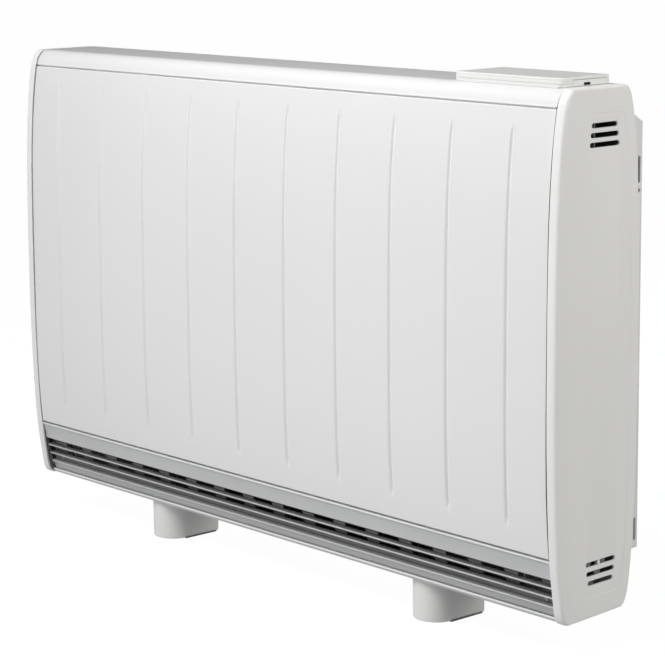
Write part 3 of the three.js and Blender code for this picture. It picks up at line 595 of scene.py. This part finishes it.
R = 4.2
loops = [ring(rim, 537.0, 6.0), ring(rim, 536.6, 4.2), ring(rim, 535.6, 3.3), ring(rim, 534.0, 3.0), ring(rim, 526.3, 3.0), ring(rim, 526.0, 2.7),
         ring(rim, 526.0, 0.5), ring(rim, 526.12, 0.16), ring(rim, 526.5, 0.0), ring(rim, 530.5, 0.0)]
for k in range(0, 10):
    t = math.radians(90 * k / 9)
    loops.append(ring(rim, HALF_W - R + R * math.sin(t), R * (1 - math.cos(t))))
mid = [((a[0] + b[0]) / 2, (a[1] + b[1]) / 2) for a, b in zip(offset(rim, R), field)]
loops.append(ring(mid, HALF_W))
for d, dx in ((-1.3, 0.0), (-0.9, 0.06), (-0.45, 0.22), (0.0, 0.38), (0.35, 0.45), (0.8, 0.48)):
    loops.append(ring(field, HALF_W - dx, d))
end_r = loft(loops, "end")
cutters = []
for y0, y1, z in VENTS:
    shape = lambda g: rrect(y0 - g, y1 + g, z - 3.0 - g, z + 3.0 + g, 2.95 + g, 8)
    prof = [(530.0, 0.0), (538.4, 0.0), (538.9, 0.08), (539.25, 0.3), (539.45, 0.62), (539.52, 0.9), (542.0, 0.95)]
    cutters.append(loft([[(x, a, b) for a, b in shape(g)] for x, g in prof]))
boolean(end_r, together("vents", *cutters))
end_r.data.materials.append(PLASTIC)
end_r.data.materials.append(VENT_SHADE)
for x0, x1, ya, yb, za, zb in ((527.5, 535.2, -20.6, -19.2, 637, 677),      # stiffening rib behind the upper vents
                               (532.0, 537.2, -8.3, -4.0, 121.5, 131.5), (531.0, 533.6, -33.5, -17.2, 120.5, 133.0),   # clips and bosses behind the lower vents
                               (531.0, 533.6, 1.0, 9.8, 120.5, 133.0), (531.0, 533.6, -10.6, 1.0, 109.0, 120.2), (529.5, 531.6, -30.5, -10.0, 96.5, 108.0)):
    rib = box(x0, x1, ya, yb, za, zb)
    soften(rib, 0.3, 2)
    rib.data.materials.append(PLASTIC)
    rib.data.materials.append(VENT_SHADE)
    if x1 < 534.5:
        for g in ((za + 0.6, za + 2.0), (zb - 2.0, zb - 0.6)):   # short legs up to the skin
            leg = box(x1 - 0.5, 537.4, ya + 0.4, ya + 1.6, *g)
            rib = join(rib, leg)
    # Ribs set back from the skin get the dark grey instead of the white plastic: painted shade inside the vents.
    for f in rib.data.polygons:
        f.material_index = 0 if 536 < x1 else 1
    end_r = join(end_r, rib)
end_l = copy_mirrored(end_r, "end_l")
piece(end_r, "end_panel_right_shell", PLASTIC, nodes=["end_panel_right"], angle=38)
piece(end_l, "end_panel_left_shell", PLASTIC, nodes=["end_panel_left"], angle=38)

# ================================================================== outlet grille
LEAN = (0.2291, 0.9734)


def lean(x, n, ms):
    """(x, depth into the heater, minus the distance down the face) to the row frame."""
    s = -ms
    return (x, -84.2 + LEAN[0] * s + LEAN[1] * n, 141.4 - LEAN[1] * s + LEAN[0] * n)


def blade(points, x0, x1, r=0.0, n=4):
    """A (down the face, depth) outline swept along X."""
    pts = [(q[1], -q[0]) for q in points]
    return prism("x", fillet(pts, r, n) if r else pts, x0, x1)


GX = INNER_W - 0.3
band = [(2.6, 9.0), (2.6, 0.3), (2.75, -0.3), (3.2, -0.75), (3.9, -0.9), (4.6, -0.7), (5.0, -0.15), (5.15, 0.5), (5.6, 0.95), (6.6, 1.0)]
band += [(s, 0.1 + 0.80 * math.cos((s - 15.5) / 12.6 * math.pi / 2)) for s in np.linspace(9, 26, 9)]
band += [(27.4, 0.0), (28.1, 0.25), (28.4, 0.9), (28.1, 1.5), (27.3, 1.75)]
band += [(s, 1.75 + 0.7 * math.cos((s - 15.5) / 12.6 * math.pi / 2)) for s in np.linspace(26, 8, 8)]
band += [(5.2, 2.0), (4.3, 2.4), (4.0, 9.0)]
parts = [prism("x", [(n, -s) for s, n in band], -GX, GX)]
for s in (40.6, 54.2, 67.6):
    fin = [(s - 1.15, 7.8), (s - 1.15, 1.15)] + [(s - 1.15 * math.cos(t), 1.15 - 1.15 * math.sin(t)) for t in np.linspace(0.2, math.pi - 0.2, 9)] + [(s + 1.15, 1.15), (s + 1.15, 7.8), (s, 8.1)]
    parts.append(prism("x", [(n, -a) for a, n in fin], -GX + 0.4, GX - 0.4))
lip = [(80.6, 1.7), (80.65, 0.9), (81.0, 0.3), (81.6, 0.0), (82.8, -0.05), (83.6, 0.15), (84.3, 0.5), (85.2, 1.0), (86.4, 1.5), (87.2, 2.0), (87.6, 2.8), (88.1, 12.3), (87.0, 12.4), (86.5, 3.4), (85.6, 2.3), (83.6, 1.75)]
parts.append(prism("x", [(n, -s) for s, n in lip], -GX, GX))
parts.append(blade([(68.3, 1.5), (71.5, 2.3), (75.5, 3.1), (81.2, 3.5), (81.2, 4.6), (75.3, 4.2), (71.2, 3.4), (67.8, 2.6)], -GX + 0.4, GX - 0.4))
web = blade([(54.4, 3.4), (56.6, 5.2), (59.2, 6.7), (62.2, 7.6), (68.2, 8.1), (68.2, 9.2), (62.0, 8.8), (58.6, 7.8), (55.8, 6.2), (54.0, 4.8)], -GX + 0.4, GX - 0.4)
for c, r in ((-94, 1.6), (-78, 1.6), (-503, 2.0), (503, 2.0)):
    boolean(web, prism("y", circle(c, -61.5, r, 24), 5, 12))
parts.append(web)
grille = join(*parts)
ends = [prism("x", [(n, -s) for s, n in ((3.2, 2.6), (67, 2.6), (84.6, 1.4), (86.2, 3.0), (70, 9.2), (3.2, 9.2))], *sorted((s * GX, s * (GX - 1.4)))) for s in (-1, 1)]
# The two end cheeks of the grille are painted near-black all over: painted shade for the dark corner at each end panel.
for e in ends:
    e.data.materials.append(SILVER)
    e.data.materials.append(SHADE_BLACK)
    for p in e.data.polygons:
        p.material_index = 1
grille.data.materials.append(SILVER)
grille.data.materials.append(SHADE_BLACK)
grille.data.materials.append(FIN_SHADE)
grille.data.materials.append(SHADE)
grille.data.materials.append(LIP_HIGHLIGHT)
grille.data.materials.append(STRIP_DEEP_SHADE)
for f in grille.data.polygons:   # painted shade: the two fins over the outlets get a dark grey behind their front edges, for the shade in the recess
    depth, down = f.center.y / MM, -f.center.z / MM
    if depth > 1.5 and (38.5 < down < 42.5 or 52.2 < down < 56.2) and not (down > 53.9 and depth > 3.0):
        f.material_index = 2
    elif depth > 2.4 and 55.4 < down < 67.2:   # painted shade: the blank strip under the two open rows gets a shaded copy of the silver, and its lower part a darker copy for deeper shade
        f.material_index = 5 if down > 58.6 else 3
    # painted shade: the sloping strip above the bottom lip gets the same shaded copy of the silver
    elif depth > 1.6 and 69.2 < down < 80.5:
        f.material_index = 3
    elif down < 4.7 and depth < 2.0 or 80.4 < down < 82.3 and depth < 1.2:   # painted highlight: the edges of the two lips get a lighter copy of the silver where they catch the light
        f.material_index = 4
ties = [blade([(3.4, 6.9), (54.0, 6.9), (54.0, 8.5), (3.4, 8.5)], c - 0.7, c + 0.7) for c in (-474, -221.2, 31.6, 284.4)]
# The ties behind the fins are painted near-black: painted shade, so they sink into the dark behind the fins.
for o in ties:
    o.data.materials.append(SILVER)
    o.data.materials.append(SHADE_BLACK)
    for p in o.data.polygons:
        p.material_index = 1
for t in ties:
    grille = boolean(grille, t, "UNION")
for e in ends:
    grille = boolean(grille, e, "UNION")
moved(grille, lean)
piece(grille, "outlet_grille_silver", SILVER, nodes=["outlet_grille"], angle=30)

# Air plate behind the fins.
s0, s1, t = 26.0, 78.0, 1.2
plate_n = 12.5
plate = prism("y", [(-523, -s1), (523, -s1), (523, -s0), (-523, -s0)], plate_n, plate_n + t)
cut = []
for i in range(16):
    c = 63.2 * (i - 7.5)
    for s in (42.6, 56.4):
        g = lambda k: rrect(c - 20 - k, c + 20 + k, -s - 4.4 - k, -s + 4.4 + k, 1.6 + k, 5)
        cut.append(loft([[(a, n, b) for a, b in g(k)] for n, k in ((11.0, 0.5), (12.5, 0.5), (12.62, 0.22), (12.85, 0.02), (16.0, 0.0))]))
for c in (-503, 503):
    cut.append(prism("y", circle(c, -61.5, 2.1, 24), 11, 16))
boolean(plate, together("slots", *cut))
moved(plate, lean)
piece(plate, "grille_air_plate", DARK, nodes=["grille_back_plate"], angle=30)

for side, c in (("left", -503.0), ("right", 503.0)):
    prof = [(0.01, 20.0), (1.35, 20.0), (1.7, 19.2), (1.7, 7.5), (3.3, 7.45), (3.42, 7.2), (3.4, 6.6), (3.1, 5.9), (2.5, 5.35), (1.6, 5.0), (0.01, 4.9)]
    screw = lathe(prof, "y", (c, 0, -61.5), 40)
    arms = [box(c - a, c + a, 3.9, 6.3, -61.5 - b, -61.5 + b) for a, b in ((1.9, 0.34), (0.34, 1.9))]
    boolean(screw, arms[0])
    boolean(screw, arms[1])
    moved(screw, lean)
    piece(screw, f"grille_screw_{side}_head", SCREW, nodes=[f"grille_screw_{side}"], angle=35)

# ================================================================== feet
def foot_outline(d, rear=32.5):
    pts = arc(0, -26.8, 31.0, 180, 360, 44)
    pts += [(31.0 + 2.5 * k / 8, -26.8 + 56.4 * k / 8) for k in range(1, 8)]
    pts += fillet([(33.5, 26.5), (33.5, 30.1), (31.0, 32.5), (26.0, 32.5)], 1.0, 4, False)[1:]
    pts += [(26 - 52 * k / 8, 32.5) for k in range(1, 8)]
    pts += fillet([(-26.0, 32.5), (-31.0, 32.5), (-33.5, 30.1), (-33.5, 26.5)], 1.0, 4, False)
    pts += [(-31.0 - 2.5 * (8 - k) / 8, -26.8 + 56.4 * (8 - k) / 8) for k in range(1, 8)]
    # The outline runs anticlockwise, so its left-hand normals point inward.
    return [(p[0] + n.x * d, min(p[1] + n.y * d, rear)) for p, n in zip(pts, normals2(pts, True))]


def foot():
    """A hollow moulded foot: rounded nose, rear corner cut off at the floor, standing on a grey pad."""
    heel = lambda z: 32.5 if z > 4.6 else 26.8 + z / 0.807
    lv = [(60.4, 3.6), (60.4, 0.5), (60.25, 0.15), (59.9, 0.0), (50, 0), (35, 0), (20, 0), (12, 0), (7.0, 0), (4.7, 0), (3.4, 0), (2.2, 0.0), (1.5, 0.08), (1.1, 0.3), (0.85, 0.7), (0.8, 1.2)]
    outer = [[(x, y, z) for x, y in foot_outline(d, heel(z) - (d if z > 7 else 0.0))] for z, d in lv]
    inner = [[(x, y, z) for x, y in foot_outline(d, r)] for z, d, r in ((4.0, 6.0, 22.5), (4.3, 4.6, 23.7), (5.6, 3.8, 26.0), (10.0, 3.6, 28.9), (40.0, 3.6, 28.9))]
    o = loft(inner + outer)
    o.data.materials.append(FOOT_PLASTIC)
    o.data.materials.append(RUBBER)
    pad = prism("z", fillet([(-32.1, -31), (32.1, -31), (34.5, 26.2), (-34.5, 26.2)], [0.8, 0.8, 1.6, 1.6], 5), 0.0, 2.2)
    soften(pad, 0.3, 2, 50)
    pad.data.materials.append(FOOT_PLASTIC)
    pad.data.materials.append(RUBBER)
    for f in pad.data.polygons:
        f.material_index = 1
    o = boolean(o, pad, "UNION")
    boolean(o, box(-40, 40, -80, -51.2, 56.2, 64))
    return boolean(o, prism("z", circle(0, -8, 2.5, 28), -1, 7))


foot_r = foot()
foot_l_mesh = foot_r.data.copy()
foot_r.data.transform(Matrix.Translation((FOOT_X * MM, 0, 0)))
foot_l_mesh.transform(Matrix.Translation((-FOOT_X * MM, 0, 0)))
foot_l = bpy.data.objects.new("foot_l", foot_l_mesh)
SCENE.collection.objects.link(foot_l)
piece(foot_r, "foot_right_shell", FOOT_PLASTIC, nodes=["foot_right"], angle=35)
piece(foot_l, "foot_left_shell", FOOT_PLASTIC, nodes=["foot_left"], angle=35)

# ================================================================== wall brackets
bx, by0, by1 = 518.0, REAR_Y + 0.4, 92.5
section = thick(fillet([(470, by1), (bx, by1), (bx, by0), (470, by0)], [0, 3.4, 3.4, 0], 7, False), 2.0)
bracket = prism("z", section, 121.4, 690.0)
boolean(bracket, prism("x", [(by1 + 5, 659.9), (by1 + 5, 700), (by0 - 3, 700), (by0 - 3, 691.8)], 460, 525))
cuts = [prism("x", rrect(82.5, 87.0, a, b, 2.2, 8), 513, 523) for a, b in ((588, 622), (131, 161))]
cuts.append(prism("x", circle(84.8, 579, 2.4, 24), 513, 523))
cuts += [prism("y", rrect(486, 494, z, z + 22, 3.95, 8), 88, 96) for z in (200, 600)]
boolean(bracket, together("cuts", *cuts))
soften(bracket, 0.25, 2, 50)
bracket_l = copy_mirrored(bracket, "bracket_l")
piece(bracket, "wall_bracket_right_channel", BRACKET, nodes=["wall_bracket_right"], angle=30)
piece(bracket_l, "wall_bracket_left_channel", BRACKET, nodes=["wall_bracket_left"], angle=30)

# ================================================================== rear panel and base tray
def rear_press(x, y, z):
    ramp = lambda v, lo, hi, w: step((v - lo) / w) * step((hi - v) / w)
    d = -1.6 * ramp(x, -446, 446, 7) * ramp(z, 150, 660, 7)
    for c in (-300, -150, 0, 150, 300):
        d += 1.5 * ramp(x, c - 13, c + 13, 6) * ramp(z, 196, 614, 10)
    return d


def cols(marks_, lo, hi, coarse):
    out = {lo, hi}
    n = int((hi - lo) / coarse)
    out.update(lo + (hi - lo) * i / n for i in range(n + 1))
    for m in marks_:
        out.update(m + 1.2 * k for k in range(-7, 8) if lo < m + 1.2 * k < hi)
    return sorted({round(v, 3) for v in out})


xs = cols([-443, 443] + [c + s * 10 for c in (-300, -150, 0, 150, 300) for s in (-1, 1)], -525.5, 525.5, 26)
zs = cols([153.5, 656.5, 201, 609], 63.2, 699.6, 26)
rear = pressed([(REAR_Y, z) for z in zs[::-1]], xs, SHEET, rear_press, edge=0.4)
gx, gz = 492.0, 110.0
boolean(rear, prism("y", circle(gx, gz, 8.0, 40), 40, 56))
piece(rear, "rear_panel_steel", GALV, nodes=["rear_panel"], angle=30)

tray_path = fillet([(-51.5, 60.8), (REAR_Y - 1.5, 60.8), (REAR_Y - 1.5, 94.0)], [0, 3.2, 0], 6, False)
tray = prism("x", list(tray_path) + offset(tray_path, 1.9, False)[::-1], -525.4, 525.4)
holes = [prism("z", circle(s * FOOT_X, -8, 3.0, 28), 55, 70) for s in (-1, 1)]
boolean(tray, together("holes", *holes))
soften(tray, 0.25, 2, 50)
piece(tray, "base_tray_steel", GALV, nodes=["base_tray"], angle=30)

# ================================================================== cable gland
def hexa(r, cx, cz):
    return fillet([(cx + r * math.cos(math.pi / 3 * k + 0.3), cz + r * math.sin(math.pi / 3 * k + 0.3)) for k in range(6)], 0.8, 3)


body = prism("y", hexa(11.0, gx, gz), REAR_Y + 0.4, REAR_Y + 5.4)
soften(body, 0.45, 3, 30)
stub = lathe([(6.2, -8.2), (7.2, -8.2), (7.55, -7.8), (7.55, 1.0), (6.2, 1.0), (6.2, -8.2)], "y", (gx, REAR_Y, gz), 56)
ribs = lambda a, h: 1.0 + (0.022 * math.cos(18 * a) if 5.6 < h < 13.5 else 0.0)
dome = lathe([(4.5, 4.6), (9.0, 4.6), (9.55, 5.2), (9.6, 7.0), (9.6, 9.0), (9.5, 11.5), (9.1, 13.6), (8.2, 15.4), (6.9, 16.8), (5.9, 17.3), (5.1, 17.3), (4.6, 16.9), (4.5, 16.2), (4.5, 4.6)],
             "y", (gx, REAR_Y, gz), 144, ripple=ribs)
bore = prism("y", circle(gx, gz, 4.5, 48), REAR_Y - 12, REAR_Y + 20)
gland = join(body, dome)
boolean(gland, bore)
nut = prism("y", hexa(10.6, gx, gz), REAR_Y - 5.4, REAR_Y - 1.5)
soften(nut, 0.4, 3, 30)
boolean(nut, prism("y", circle(gx, gz, 7.3, 48), REAR_Y - 12, REAR_Y + 2))
gland = join(gland, stub, nut)
piece(gland, "cable_gland_nut", BLACK, nodes=["cable_gland"], angle=30)

# ================================================================== control housing
ay, az = LID_AXIS
rz0, rz1 = TOP_Z + 0.3, 722.4
BL, BR = 340.5, 517.7   # the two ends of the control box


def fl(r, n=10):
    """Front left corner of the box, inset to radius r."""
    return arc(347.5, -54.0, r, 180, 270, n)


def fr(r, n=10):
    return arc(512.2, -55.5, r, -90, 0, n)


rim_path = fl(4.0) + fr(2.5) + [(514.7, -38.5), (BR, -38.5)] + arc(BR - 2.5, 18.4, 2.5, 0, 90, 6) + arc(BL + 2.5, 18.4, 2.5, 90, 180, 6) + [(BL, -38.5), (343.5, -38.5)]
housing = prism("z", rim_path, rz0, rz1)
soften(housing, 0.5, 3, 40)
plinth = prism("z", fr(5.5) + [(BR, -37.0), (BL, -37.0)] + fl(7.0), rz0, 718.3)
soften(plinth, 0.15, 2, 60)
apron = prism("x", fillet([(-61.0, rz0 + 0.6), (-61.0, 713.75), (-59.8, 714.1), (-59.8, rz0 + 0.6)], [0, 0.4, 0.4, 0], 4), 347.5, 512.2)
well = prism("z", rrect(350.8, 513.2, -52.2, 13.2, 2.0), 700, rz0 + 2)
lug_shape = [(17.0, rz0), (ay + 2.9, rz0)] + arc(ay, az, 2.9, 0, 90, 10) + [(17.0, az + 2.9)]
lugs = [prism("x", lug_shape, a, b) for a, b in ((341.3, 351.5), (512.5, 517.0))]
for g in lugs:
    soften(g, 0.4, 3, 40)
housing = join(housing, plinth, apron, well, *lugs)
boolean(housing, prism("z", rrect(352.3, 511.7, -50.7, 11.7, 1.6), 712, 730))
boolean(housing, prism("z", rrect(355, 509, -48, 9, 1.2), 702, 714))
boolean(housing, prism("x", circle(ay, az, 1.6, 28), 347.6, 352.2))
boolean(housing, prism("x", circle(ay, az, 1.6, 28), 511.8, 515.8))
port = loft([[(x, a, b) for a, b in rrect(-19.8 - g, -8.4 + g, 715.75 - g * 0.6, 718.85 + g, 0.8 + g, 5)] for x, g in ((514.0, 0), (517.0, 0), (517.45, 0.12), (517.65, 0.35), (519, 0.4))])
housing.data.materials.append(CONTROL_PLASTIC)
housing.data.materials.append(SHADE_BLACK)
boolean(housing, port)
for f in housing.data.polygons:   # painted shade: the inside of the socket is painted near-black
    if 513.9 * MM < f.center.x < 517.3 * MM and -20.2 * MM < f.center.y < -8.0 * MM and 715.3 * MM < f.center.z < 719.3 * MM:
        f.material_index = 1
piece(housing, "control_housing_shell", CONTROL_PLASTIC, nodes=["control_housing"], angle=32)

# Fascia, display and keys.
WINDOW = (362, 432, -39, -1)
KEYS = {"back": (449, -8), "menu": (471, -8), "ok": (493, -8), "minus": (460, -32), "plus": (482, -32)}
fascia = prism("z", rrect(352.7, 511.3, -50.3, 11.3, 1.6), 712.3, 713.9)
cut = [prism("z", rrect(WINDOW[0], WINDOW[1], WINDOW[2], WINDOW[3], 2.0), 710, 716)]
cut += [prism("z", rrect(x - 7.4, x + 7.4, y - 5.4, y + 5.4, 3.2, 8), 710, 716) for x, y in KEYS.values()]
boolean(fascia, together("cuts", *cut))
soften(fascia, 0.25, 2, 50)
piece(fascia, "control_fascia_plate", GREY, nodes=["control_fascia"], angle=30)

w = [WINDOW[0] + 0.3, WINDOW[1] - 0.3, WINDOW[2] + 0.3, WINDOW[3] - 0.3]
lv = [(712.5, 0.3, 0), (712.7, 0.0, 0), (713.7, 0.0, 0), (714.1, 0.12, 0), (714.3, 0.5, 0), (714.3, 4.0, 0), (714.22, 4.3, 0), (714.2, 4.6, 0)]
window = loft([[(x, y, z) for x, y in rrect(w[0] + d, w[1] - d, w[2] + d, w[3] - d, max(0.5, 1.8 - d * 0.3), 6)] for z, d, _ in lv])
window.data.materials.append(GLASS)
window.data.materials.append(LCD)
for p in window.data.polygons:
    if p.center.z > 714.15 * MM and len(p.vertices) > 8 and p.center.z < 714.25 * MM:
        p.material_index = 1
piece(window, "display_window_pane", GLASS, nodes=["display_window"], angle=30)


def glyph(kind, x, y):
    z0_, z1_ = 716.2, 717.28
    bar = lambda a0, a1, b0, b1: box(x + a0, x + a1, y + b0, y + b1, z0_, z1_)
    if kind == "minus":
        return [bar(-2.4, 2.4, -0.45, 0.45)]
    if kind == "plus":
        return [prism("z", [(x + a, y + b) for a, b in ((-0.45, -2.2), (0.45, -2.2), (0.45, -0.45), (2.2, -0.45), (2.2, 0.45), (0.45, 0.45), (0.45, 2.2), (-0.45, 2.2), (-0.45, 0.45), (-2.2, 0.45), (-2.2, -0.45), (-0.45, -0.45))], z0_, z1_)]
    if kind == "back":
        return [prism("z", [(x + 1.4, y - 1.9), (x + 1.4, y + 1.9), (x - 1.9, y)], z0_, z1_)]
    if kind == "menu":
        return [bar(-2.2, 2.2, k - 0.3, k + 0.3) for k in (-1.5, 0.0, 1.5)]
    return [prism("z", circle(x, y, 1.7, 28), z0_, z1_)]


for key, (x, y) in KEYS.items():
    def key_ring(hx, hy, r):
        return rrect(x - hx, x + hx, y - hy, y + hy, r, 8)
    lv = [(709.0, 8.0, 6.0, 2.4), (709.2, 8.2, 6.2, 2.6), (711.6, 8.2, 6.2, 2.6), (711.8, 8.0, 6.0, 2.4), (711.8, 7.0, 5.0, 2.8), (716.2, 6.95, 4.95, 2.8), (716.75, 6.8, 4.8, 2.7), (717.1, 6.45, 4.45, 2.5),
          (717.25, 6.0, 4.0, 2.2), (717.15, 5.2, 3.3, 1.9), (716.95, 4.2, 2.6, 1.5), (716.85, 3.4, 2.0, 1.1)]
    cap = loft([[(a, b, z) for a, b in key_ring(hx, hy, r)] for z, hx, hy, r in lv])
    for g in glyph(key, x, y):
        boolean(cap, g, "UNION")
    piece(cap, f"button_{key}_cap", KEY, body=f"key_{key}", nodes=[f"button_{key}"], angle=34)

# ================================================================== control lid
def lid_outline(d=0.0):
    k = min(d, 2.0)
    rear = lambda x, t0, t1: arc(x, 25.1 - d + k, 3.0 - k, t0, t1, 8)
    front = [(512.2 - d + k, -55.5 + d - k, 5.5 - k, -90, 0), (347.5 + d - k, -54.0 + d - k, 7.0 - k, 180, 270)]
    return arc(*front[0], 10) + rear(514.7 - d + k, 0, 90) + rear(343.5 + d - k, 90, 180) + arc(*front[1], 10)


lv = [(722.9, 0.35), (723.0, 0.12), (723.3, 0.0), (724.6, 0.0), (725.3, 0.14), (725.75, 0.42), (726.0, 0.85), (726.1, 1.5), (726.1, 6.0)]
lid = loft([[(x, y, z) for x, y in lid_outline(d)] for z, d in lv])
skirt_outline = fr(5.5) + [(BR, -38.8), (515.0, -38.8)] + fr(2.8)[::-1] + fl(4.3)[::-1] + [(343.2, -38.8), (BL, -38.8)] + fl(7.0)
skirt = prism("z", skirt_outline, 718.55, 722.6)
soften(skirt, 0.25, 3, 40)
neck = prism("z", fr(5.2) + [(BR - 0.3, -39.3), (515.4, -39.3)] + fr(3.2)[::-1] + fl(4.7)[::-1] + [(342.8, -39.3), (BL + 0.3, -39.3)] + fl(6.7), 721.8, 723.4)
barrel = lathe([(0.01, 352.1), (2.6, 352.1), (3.0, 352.5), (3.0, 511.5), (2.6, 511.9), (0.01, 511.9)], "x", (0, ay, az), 40)
web = box(352.1, 511.9, ay - 1.8, ay + 1.8, az, 723.6)
pins = [lathe([(0.01, a), (1.05, a), (1.25, a + 0.2), (1.25, b - 0.2), (1.05, b), (0.01, b)], "x", (0, ay, az), 28) for a, b in ((348, 353), (511, 515.4))]
ribs = [box(x - 0.7, x + 0.7, -57.5, 14, 722.0, 723.4) for x in (400, 464)]
lid = join(lid, skirt, neck, web, barrel, *pins, *ribs)
piece(lid, "control_lid_cover", CONTROL_PLASTIC,body="lid", nodes=["control_lid"], angle=34)

# ================================================================== pieces kept from the frame
KEPT = {"core_brick": (BRICK, 1.6, 3), "insulation": (INSUL, 1.0, 2), "heating_element": (ELEMENT, 0, 0), "core_sensor": (ELEMENT, 0.4, 2), "core_tray": (GALV, 0.3, 2),
        "inner_front": (GALV, 0.3, 2), "partition": (GALV, 0.2, 2), "fan_housing": (GALV, 0.15, 2), "fan_motor": (STEEL, 0.8, 3), "fan_impeller": (BLACK, 0.15, 2),
        "mixing_damper": (STEEL, 0.2, 2), "damper_actuator": (BLACK, 0.8, 3), "terminal_block": (GREY, 0.4, 2), "power_board": (BOARD, 0.25, 2), "control_board": (BOARD, 0.25, 2),
        "thermal_cutout": (BLACK, 0.4, 2), "cutout_reset": (KEY, 0.3, 2)}
for name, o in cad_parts.items():
    for key, (mat, width, seg) in KEPT.items():
        if name.startswith(key):
            if o.data.materials:
                for s in o.material_slots:
                    s.link = "OBJECT"
                    s.material = mat
            else:
                o.data.materials.append(mat)
            if width:
                m = o.modifiers.new("edge", "BEVEL")
                m.width, m.segments, m.limit_method, m.angle_limit = width * MM, seg, "ANGLE", math.radians(40)
                m.use_clamp_overlap = True

# ================================================================== floor, lights, background
floor = raw("floor", [(-40000, -40000, 0), (40000, -40000, 0), (40000, 40000, 0), (-40000, 40000, 0)], [[0, 1, 2, 3]])
floor.data.materials.append(FLOOR)
floor.location.z = -0.0002
FLOOR.node_tree.nodes["Principled BSDF"].inputs["Emission Color"].default_value = (1, 1, 1, 1)
FLOOR.node_tree.nodes["Principled BSDF"].inputs["Emission Strength"].default_value = 0.94
floor.visible_diffuse = floor.visible_glossy = floor.visible_shadow = False

world = bpy.data.worlds.new("studio")
SCENE.world = world
world.use_nodes = True
bg = world.node_tree.nodes["Background"]
bg.inputs["Color"].default_value = (1, 1, 1, 1)
WORLD_LOW, WORLD_MID, WORLD_UP = 0.64, 0.0, 0.31   # strength looking down, level and up, each blending into the next
wt = world.node_tree
split = wt.nodes.new("ShaderNodeSeparateXYZ")
wt.links.new(wt.nodes.new("ShaderNodeTexCoord").outputs["Generated"], split.inputs[0])
below = _ramp(wt, split.outputs["Z"], -0.3, 0.0, WORLD_LOW, WORLD_MID)
above = _ramp(wt, split.outputs["Z"], 0.0, 0.3, 0.0, WORLD_UP - WORLD_MID)
total = wt.nodes.new("ShaderNodeMath")
total.operation = "ADD"
side = wt.nodes.new("ShaderNodeMath")   # less comes up from the floor on the right
side.operation = "MULTIPLY"
wt.links.new(below, side.inputs[0])
wt.links.new(_ramp(wt, split.outputs["X"], -0.2, 0.7, 1.0, 0.62), side.inputs[1])
wt.links.new(side.outputs[0], total.inputs[0])
wt.links.new(above, total.inputs[1])
wt.links.new(total.outputs[0], bg.inputs["Strength"])


def softbox(name, az, el, dist, size, power, aim=(0, 0, 380), spread=180, tint=(1.0, 1.0, 1.0)):
    """az is turned from straight in front towards +X, el is above the floor."""
    a, e = math.radians(az), math.radians(el)
    d = Vector((math.sin(a) * math.cos(e), -math.cos(a) * math.cos(e), math.sin(e)))
    light = bpy.data.lights.new(name, "AREA")
    light.shape, light.size, light.size_y, light.energy = "RECTANGLE", size[0], size[1], power
    light.spread, light.color = math.radians(spread), tint
    o = bpy.data.objects.new(name, light)
    SCENE.collection.objects.link(o)
    o.location = Vector(aim) * MM + d * dist
    o.rotation_euler = (-d).to_track_quat("-Z", "Y").to_euler()
    return o


softbox("key", -14, 49, 3.0, (1.4, 1.4), 16.2, aim=(330, 0, 420), spread=84)
softbox("front_fill", -8, 8, 3.2, (1.8, 1.0), 15.4)
softbox("left_strip", -71, 40, 3.0, (1.4, 1.4), 0.4, aim=(420, -70, 760), spread=60)
softbox("right_fill", 106, 18, 3.0, (1.6, 1.4), 32.0, tint=(1.0, 0.985, 0.945))
SCENE.view_settings.view_transform = "Standard"
SCENE.view_settings.look = "None"
